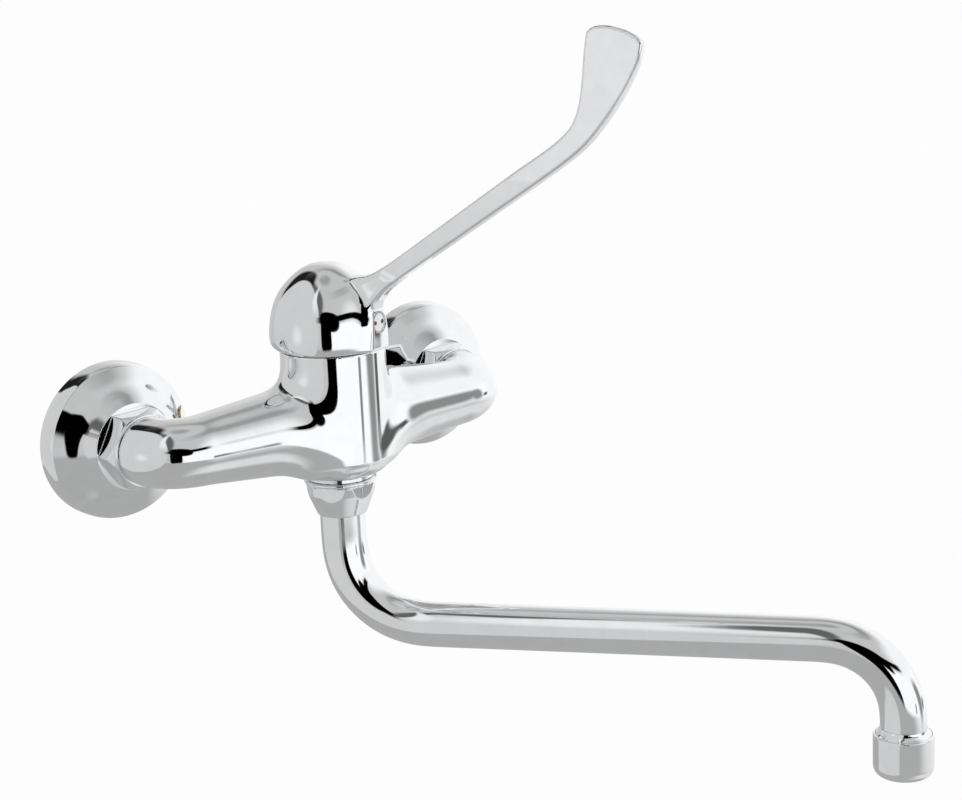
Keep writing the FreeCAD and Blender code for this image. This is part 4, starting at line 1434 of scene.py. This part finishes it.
@dataclass
class SpoutNut:
    """Nut under the mixer: two rolled rings, six small flats and a conical skirt."""

    profile: Run = ((12.0, -22.0), (13.9, -22.0), (14.5, -22.4), (14.5, -23.1), (13.75, -23.65),
                    (14.2, -24.2), (13.5, -27.9), (9.9, -36.6), (9.6, -36.8), (9.0, -36.8))
    outline_step: float = 0.25
    outline_margin: float = 4.0
    flat_half: float = 12.8
    flat_turn: float = 8.0
    flat_edge: float = 0.25
    bore_r: float = 9.08
    bore_edge: float = 0.3
    # Middle height and half height of the flats, and radius, middle height and half height of two recesses.
    flat_z: tuple[float, float] = (-27.2, 3.2)
    recesses: tuple[Triple, ...] = ((12.45, -24.2, 3.2), (10.8, -26.5, 4.5))
    recess_edge: float = 0.2
    grid: tuple[Triple, Triple] = ((-15.2, BARREL_Y - 15.2, -37.5), (15.3, BARREL_Y + 15.3, -21.4))
    cell: float = 0.4
    outline: Outline = field(init=False)

    def __post_init__(self) -> None:
        """Lay out the outline of the nut without its hollows."""
        points = ((0.0, self.profile[0][1]), *self.profile, (0.0, self.profile[-1][1]))
        runs = tuple(zip(points, points[1:]))
        self.outline = Outline(runs, self.outline_step, self.outline_margin, mirrored=True)

    def solid(self, p: np.ndarray) -> np.ndarray:
        """Distance to the nut.

        Args:
            p: Points in millimetres.

        Returns:
            Signed distances.
        """
        x, y, z = p[:, 0], p[:, 1] - BARREL_Y, p[:, 2]
        rho = np.hypot(x, y)
        nut = self.outline(rho, z)
        middle, half = self.flat_z
        for k in range(6):
            angle = math.radians(self.flat_turn + 60 * k)
            face = x * math.sin(angle) - y * math.cos(angle)
            nut = cut(nut, np.maximum(self.flat_half - face, np.abs(z - middle) - half), self.flat_edge)
        for radius, middle, half in self.recesses:
            nut = cut(nut, np.maximum(rho - radius, np.abs(z - middle) - half), self.recess_edge)
        return cut(nut, rho - self.bore_r, self.bore_edge)

    def build(self, wardrobe: Wardrobe) -> None:
        """Build the nut.

        Args:
            wardrobe: Where finishes come from.
        """
        piece = Mesher(self.solid, *self.grid, self.cell).build("spout_nut_fine")
        fitted(piece, "tap_body", "spout_nut", CHROME, wardrobe)


@dataclass
class Spout:
    """S-shaped tube and the aerator's collar and cap at its end."""

    azimuth: float = 38.2
    radius: float = 9.0
    wall: float = 1.0
    top_z: float = -29.25
    level_z: float = -83.3
    reach: float = 220.8
    end_z: float = -121.0
    first_bend: float = 34.0
    second_bend: float = 31.5
    easing: float = 12.0
    # Length of a step along the line, every which step gets a ring, and how many faces go round.
    step: float = 0.25
    steps_per_ring: int = 4
    turns: int = 96
    # The line's small error in reach is made good from the first share of its length, over the second share,
    # and the error in height over the last stretch of it.
    level_share: tuple[float, float] = (0.35, 0.3)
    drop_length: float = 6.0
    collar: Corners = ((9.02, -117.6), (9.25, -117.6, 0.5), (9.5, -118.6, 3.0), (10.0, -119.6, 3.0),
                       (10.8, -120.4, 0.5), (10.9, -120.8, 0.4), (10.9, -128.5, 0.2), (7.8, -128.5, 0.2),
                       (7.8, -121.0), (9.02, -121.0))
    cap: Corners = ((10.95, -120.4, 0.1), (11.5, -120.4, 0.3), (11.8, -120.75, 0.5), (11.8, -133.4, 4.0),
                    (11.5, -135.0, 3.0), (10.8, -136.2, 2.5), (9.8, -137.0, 2.5), (8.8, -137.3, 0.3),
                    (8.7, -137.2, 0.2), (8.7, -131.9), (10.95, -131.9))

    @staticmethod
    def gentle(share: np.ndarray, soft: float) -> np.ndarray:
        """Go from 0 to 1 at a steady pace with eased ends.

        Args:
            share: How far along, 0 to 1.
            soft: Share of the way that each end takes to reach the pace.

        Returns:
            The eased share.
        """
        pace = 1 / (1 - soft)
        begin = pace * share ** 2 / (2 * soft)
        steady = pace * (share - soft / 2)
        end = 1 - pace * (1 - share) ** 2 / (2 * soft)
        return np.where(share < soft, begin, np.where(share > 1 - soft, end, steady))

    def angles(self) -> tuple[np.ndarray, np.ndarray]:
        """Turn the middle line with bends that begin and end gently.

        Returns:
            Length along the line at each step, and the line's angle there, 0 where it runs down.
        """
        quarter = math.pi / 2
        total = ((self.top_z - self.level_z) + self.reach + (self.level_z - self.end_z)
                 - sum((2 - quarter) * bend for bend in (self.first_bend, self.second_bend)))
        along = np.arange(0.0, total + self.step / 2, self.step)
        first_start = self.top_z - self.level_z - self.first_bend
        second_start = (first_start + quarter * self.first_bend + self.reach - self.first_bend
                        - self.second_bend)
        angle = np.zeros_like(along)
        for start, bend in ((first_start, self.first_bend), (second_start, -self.second_bend)):
            length = quarter * abs(bend)
            soft = self.easing / length
            ramp = np.clip(((along - start) / length + soft / 2) / (1 + soft), 0, 1)
            angle += math.copysign(quarter, bend) * self.gentle(ramp, soft)
        return along, angle

    def line(self) -> tuple[np.ndarray, np.ndarray]:
        """Follow the tube's middle line.

        Returns:
            Distance from the barrel's axis and height at each ring, and the same of the way ahead there.
        """
        along, angle = self.angles()
        ahead = np.stack([np.sin(angle), -np.cos(angle)], axis=1)
        start = np.array([0.0, self.top_z])
        moves = (ahead[1:] + ahead[:-1]) / 2 * self.step
        line = np.concatenate([[start], start + np.cumsum(moves, axis=0)])
        missing = np.array([self.reach, self.end_z]) - line[-1]
        first, width = (share * along[-1] for share in self.level_share)
        level = np.clip((along - first) / width, 0, 1)
        drop = np.clip((along - along[-1] + self.drop_length) / self.drop_length, 0, 1)
        line = line + np.stack([missing[0] * level, missing[1] * drop], axis=1)
        keep = np.unique(np.append(np.arange(0, len(line), self.steps_per_ring), len(line) - 1))
        return line[keep], ahead[keep]

    def tube(self) -> bpy.types.Object:
        """Sweep the tube, with its inner wall and end faces.

        Returns:
            The tube.
        """
        line, ahead = self.line()
        turn = math.radians(self.azimuth)
        out_way = np.array([math.sin(turn), -math.cos(turn), 0.0])
        side = np.array([math.cos(turn), math.sin(turn), 0.0])
        up = np.array([0.0, 0.0, 1.0])
        upper = -ahead[:, 1:] * out_way + ahead[:, :1] * up
        forward = ahead[:, :1] * out_way + ahead[:, 1:] * up
        centre = line[:, :1] * out_way + line[:, 1:] * up + np.array([0.0, BARREL_Y, 0.0])
        angles = np.linspace(0, 2 * math.pi, self.turns, endpoint=False)
        rings = np.cos(angles)[None, :, None] * upper[:, None, :] + np.sin(angles)[None, :, None] * side
        outer = centre[:, None] + self.radius * rings
        inner = centre[:, None] + (self.radius - self.wall) * rings
        vertices = np.concatenate([outer.reshape(-1, 3), inner.reshape(-1, 3)])
        rows, turns = len(line), self.turns
        inner_start = rows * turns
        faces, loops = [], []
        for k in range(rows - 1):
            low, high = k * turns, (k + 1) * turns
            normals = band_normals(rings[k], rings[k + 1])
            faces += [band(low, high, turns)[:, ::-1], band(inner_start + low, inner_start + high, turns)]
            loops += [normals[:, ::-1], -normals]
        for row, way in ((0, -1), (rows - 1, 1)):
            quads = band(row * turns, inner_start + row * turns, turns)
            faces.append(quads[:, ::-way])
            loops.append(np.broadcast_to(way * forward[row], (turns, 4, 3)))
        normals = np.concatenate(loops).reshape(-1, 3)
        return finished_mesh("spout_tube_fine", vertices, np.concatenate(faces), normals)

    def build(self, wardrobe: Wardrobe) -> None:
        """Build the tube, collar and cap.

        Args:
            wardrobe: Where finishes come from.
        """
        turn = math.radians(self.azimuth)
        end = Axis(self.reach * math.sin(turn), BARREL_Y - self.reach * math.cos(turn), 0.0)
        fitted(self.tube(), "spout", "spout_tube", CHROME, wardrobe)
        fitted(turned("outlet_collar", self.collar, end), "spout", "aerator_holder", CHROME, wardrobe)
        fitted(turned("outlet_cap", self.cap, end), "spout", "aerator_cap", CHROME, wardrobe)


class StudioPanel(Effect):
    """One soft-edged panel of the studio, placed by its direction from the tap."""

    name = "studio panel"
    inputs = (("Way", Socket.VECTOR, (0.0, 0.0, 1.0)), ("Azimuth", Socket.NUMBER, 0.0),
              ("Elevation", Socket.NUMBER, 0.0), ("Half Width", Socket.NUMBER, 20.0),
              ("Half Height", Socket.NUMBER, 10.0), ("Lean", Socket.NUMBER, 0.0),
              ("Rise", Socket.NUMBER, 0.0), ("Square", Socket.NUMBER, 8.0),
              ("Softness", Socket.NUMBER, 0.2))
    outputs = (("Mask", Socket.NUMBER),)

    def fill(self, graph: Graph, given: bpy.types.NodeOutputs) -> dict[str, bpy.types.NodeSocket]:
        """Build the mask from the direction's azimuth and elevation in degrees.

        Args:
            graph: The group's graph.
            given: The group's input values.

        Returns:
            The mask.
        """
        x, y, z = graph.add("ShaderNodeSeparateXYZ", {0: given["Way"]}).outputs
        azimuth = graph.math("DEGREES", graph.math("ARCTAN2", x, graph.math("MULTIPLY", y, -1.0)))
        height = graph.math("DEGREES", graph.math("ARCSINE", z))
        aside = graph.math("WRAP", graph.math("SUBTRACT", azimuth, given["Azimuth"]), 180.0, -180.0)
        above = graph.math("SUBTRACT", height, given["Elevation"])
        raised = graph.math("SUBTRACT", above, graph.math("MULTIPLY", aside, given["Rise"]))
        leant = graph.math("SUBTRACT", aside, graph.math("MULTIPLY", above, given["Lean"]))
        powers = []
        for place, half in ((leant, given["Half Width"]), (raised, given["Half Height"])):
            share = graph.math("ABSOLUTE", graph.math("DIVIDE", place, half))
            powers.append(graph.math("POWER", share, given["Square"]))
        span = graph.math("POWER", graph.math("ADD", *powers), graph.math("DIVIDE", 1.0, given["Square"]))
        edge = graph.math("DIVIDE", graph.math("SUBTRACT", 1.0, span), given["Softness"])
        return {"Mask": graph.span(edge, -0.5, 0.5)}


@dataclass(frozen=True)
class Panel:
    """Where one panel of the studio stands, in degrees, and how light it is."""

    azimuth: float
    elevation: float
    half_width: float
    half_height: float
    tone: float
    softness: float = 4.0
    lean: float = 0.0
    rise: float = 0.0
    square: float = 8.0

    def mask(self, effect: StudioPanel, graph: Graph, way: bpy.types.NodeSocket) -> bpy.types.NodeSocket:
        """Place the panel's mask in a material.

        Args:
            effect: The shared effect.
            graph: The material's graph.
            way: Direction from the middle of the tap.

        Returns:
            The mask.
        """
        softness = self.softness / min(self.half_width, self.half_height)
        values = {"Way": way, "Azimuth": self.azimuth, "Elevation": self.elevation,
                  "Half Width": self.half_width, "Half Height": self.half_height, "Lean": self.lean,
                  "Rise": self.rise, "Square": self.square, "Softness": softness}
        return effect.place(graph, values)["Mask"]


# From back to front. Azimuths go to the right from straight ahead of the tap, and elevations go up.
PANELS = (
    # Middle of the ceiling.
    Panel(0, 90, 200, 9, 0.40, 8),
    # Pale card low on the right.
    Panel(60, -41, 56, 12, 0.83, 12, lean=0.87, rise=0.16, square=5),
    # Dark drape on the left, in two parts, with the grey card before it and a lamp on that.
    Panel(-98, 41, 55, 33, 0.14, 5, square=2.6),
    Panel(-146, 44, 40, 30, 0.015, 8, square=3),
    Panel(-110, 14, 58, 54, 0.70, 2.5, square=2.4),
    Panel(-97, -1, 9, 8, 0.88, 12, square=2),
    # White card on the right and the seam above it.
    Panel(77, 10, 70, 35, 1.08, 18, square=3),
    Panel(85, 60, 70, 5, 0.33, 9),
    # White card in front and a light strip high on the left.
    Panel(16, -2, 58, 14.5, 1.15, 3),
    Panel(-69, 52, 6, 21, 0.95, 6, lean=-0.4),
    # Dark gap round the camera, in three parts.
    Panel(-30, 17, 20, 12, 0.0, 2, rise=-0.15, square=2.4),
    Panel(-18, 18.5, 36, 3.8, 0.0, 1.5, rise=0.02),
    Panel(-38, 6, 10, 23, 0.0, 1.5),
    # Grey card on the right and two thin stands.
    Panel(50, -6, 11, 13, 0.30, 9, lean=-0.4, square=3),
    Panel(23.5, -12, 3, 3, 0.28, 2),
    Panel(71, -12, 5, 3, 0.12, 3),
)


@dataclass
class Studio:
    """Camera, pale floor and soft light round the tap."""

    lens: float = 82.66
    sensor: float = 36.0
    azimuth: float = -38.12
    elevation: float = 13.71
    roll: float = -2.58
    position: Triple = (-478.58, -750.02, 213.41)
    seen_from: float = 50.0
    seen_to: float = 50000.0
    floor_z: float = -300.0
    floor_half: float = 9000.0
    floor_color: Color = (0.85, 0.85, 0.85)
    floor_white_share: float = 0.9
    upper_tone: float = 0.62
    lower_tone: float = 0.46
    horizon: tuple[float, float] = (-0.30, -0.22)
    tent_middle: Triple = (0.0, -60.0, 0.0)
    tent_radius: float = 20000.0
    tent_rows: int = 24
    tent_columns: int = 48

    def camera(self) -> None:
        """Set the camera where the photograph was taken from."""
        azimuth, elevation, roll = (math.radians(v) for v in (self.azimuth, self.elevation, self.roll))
        back = Vector((math.sin(azimuth) * math.cos(elevation), -math.cos(azimuth) * math.cos(elevation),
                       math.sin(elevation)))
        level = (-back).cross(Vector((0, 0, 1))).normalized()
        upright = level.cross(-back)
        right = level * math.cos(roll) + upright * math.sin(roll)
        up = upright * math.cos(roll) - level * math.sin(roll)
        data = bpy.data.cameras.new("camera")
        data.lens = self.lens
        data.sensor_width = self.sensor
        data.clip_start = self.seen_from * MM
        data.clip_end = self.seen_to * MM
        eye = bpy.data.objects.new("camera", data)
        placed = Matrix((right, up, back)).transposed().to_4x4()
        placed.translation = Vector(self.position) * MM
        eye.matrix_world = placed
        bpy.context.scene.collection.objects.link(eye)
        bpy.context.scene.camera = eye

    def world(self) -> None:
        """Plain white surroundings."""
        made = bpy.data.worlds.new("studio")
        graph = blank(made)
        light = graph.add("ShaderNodeBackground", {"Color": (1, 1, 1, 1), "Strength": 1.0})
        graph.add("ShaderNodeOutputWorld", {"Surface": light.outputs[0]})
        bpy.context.scene.world = made

    def tent_material(self) -> bpy.types.Material:
        """Build the glow of the light tent, with every panel over its two plain tones.

        Returns:
            The material.
        """
        made = bpy.data.materials.new("light tent")
        graph = blank(made)
        place = graph.add("ShaderNodeNewGeometry").outputs["Position"]
        middle = tuple(v * MM for v in self.tent_middle)
        offset = graph.add("ShaderNodeVectorMath", {0: place, 1: middle}, operation="SUBTRACT").outputs[0]
        way = graph.add("ShaderNodeVectorMath", {0: offset}, operation="NORMALIZE").outputs[0]
        height = graph.add("ShaderNodeSeparateXYZ", {0: way}).outputs[2]
        tone = graph.span(height, *self.horizon, self.lower_tone, self.upper_tone)
        effect = StudioPanel()
        for panel in PANELS:
            tone = graph.mix(Mix.NUMBER, panel.mask(effect, graph, way), tone, panel.tone)
        light = graph.add("ShaderNodeEmission", {"Color": tone, "Strength": 1.0})
        graph.add("ShaderNodeOutputMaterial", {"Surface": light.outputs[0]})
        return made

    def tent(self) -> None:
        """Light tent with the studio's panels, which only shiny surfaces see."""
        rows, columns = self.tent_rows, self.tent_columns
        heights = np.linspace(-math.pi / 2, math.pi / 2, rows + 1)
        turns = np.linspace(0, 2 * math.pi, columns, endpoint=False)
        level, upright = np.cos(heights)[:, None], np.sin(heights)[:, None]
        ways = np.stack([level * np.cos(turns), level * np.sin(turns), upright + 0 * turns], axis=-1)
        points = (ways * self.tent_radius + self.tent_middle).reshape(-1, 3) * MM
        faces = np.concatenate([band(row * columns, (row + 1) * columns, columns) for row in range(rows)])
        mesh = bpy.data.meshes.new("light_tent")
        mesh.from_pydata(points.tolist(), [], faces.tolist())
        mesh.materials.append(self.tent_material())
        tent = linked("light_tent", mesh)
        for ray in ("camera", "diffuse", "transmission", "volume_scatter", "shadow"):
            setattr(tent, "visible_" + ray, False)

    def floor_material(self) -> bpy.types.Material:
        """Build pale paint that shows nearly white, so that only a soft shadow is left.

        Returns:
            The material.
        """
        made = bpy.data.materials.new("pale floor")
        graph = blank(made)
        path = graph.add("ShaderNodeLightPath").outputs
        mirrored = graph.math("MAXIMUM", path["Is Glossy Ray"], path["Is Transmission Ray"])
        seen = graph.math("MAXIMUM", path["Is Camera Ray"], mirrored)
        shaded = graph.add("ShaderNodeBsdfDiffuse", {"Color": (*self.floor_color, 1)})
        white = graph.add("ShaderNodeEmission", {"Color": (1, 1, 1, 1), "Strength": 1.0})
        share = graph.math("MULTIPLY", seen, self.floor_white_share)
        mixed = graph.add("ShaderNodeMixShader", {0: share, 1: shaded.outputs[0], 2: white.outputs[0]})
        graph.add("ShaderNodeOutputMaterial", {"Surface": mixed.outputs[0]})
        return made

    def floor(self) -> None:
        """Pale floor under the tap, with the tent in place of it for mirror surfaces."""
        half = self.floor_half * MM
        z = self.floor_z * MM
        mesh = bpy.data.meshes.new("floor")
        corners = [(-half, -half, z), (half, -half, z), (half, half, z), (-half, half, z)]
        mesh.from_pydata(corners, [], [(0, 1, 2, 3)])
        mesh.materials.append(self.floor_material())
        plane = linked("floor", mesh)
        plane.visible_glossy = False


def main() -> None:
    logging.basicConfig(level=logging.INFO, format="%(name)s %(message)s")
    wardrobe = Wardrobe()
    for node, piece in frame["nodes"].items():
        finish = SLOT_FINISHES[SLOTS[node]]
        wardrobe.dress(piece, finish)
        LOG.info("%s in %s", node, finish.name)
    for assembly in (LeverHandle(), MixerBody(), InletSet(), SpoutNut(), Spout()):
        assembly.build(wardrobe)
    studio = Studio()
    studio.camera()
    studio.world()
    studio.floor()
    studio.tent()
    bpy.context.scene.view_settings.view_transform = "Standard"


if __name__ == "__main__":
    main()
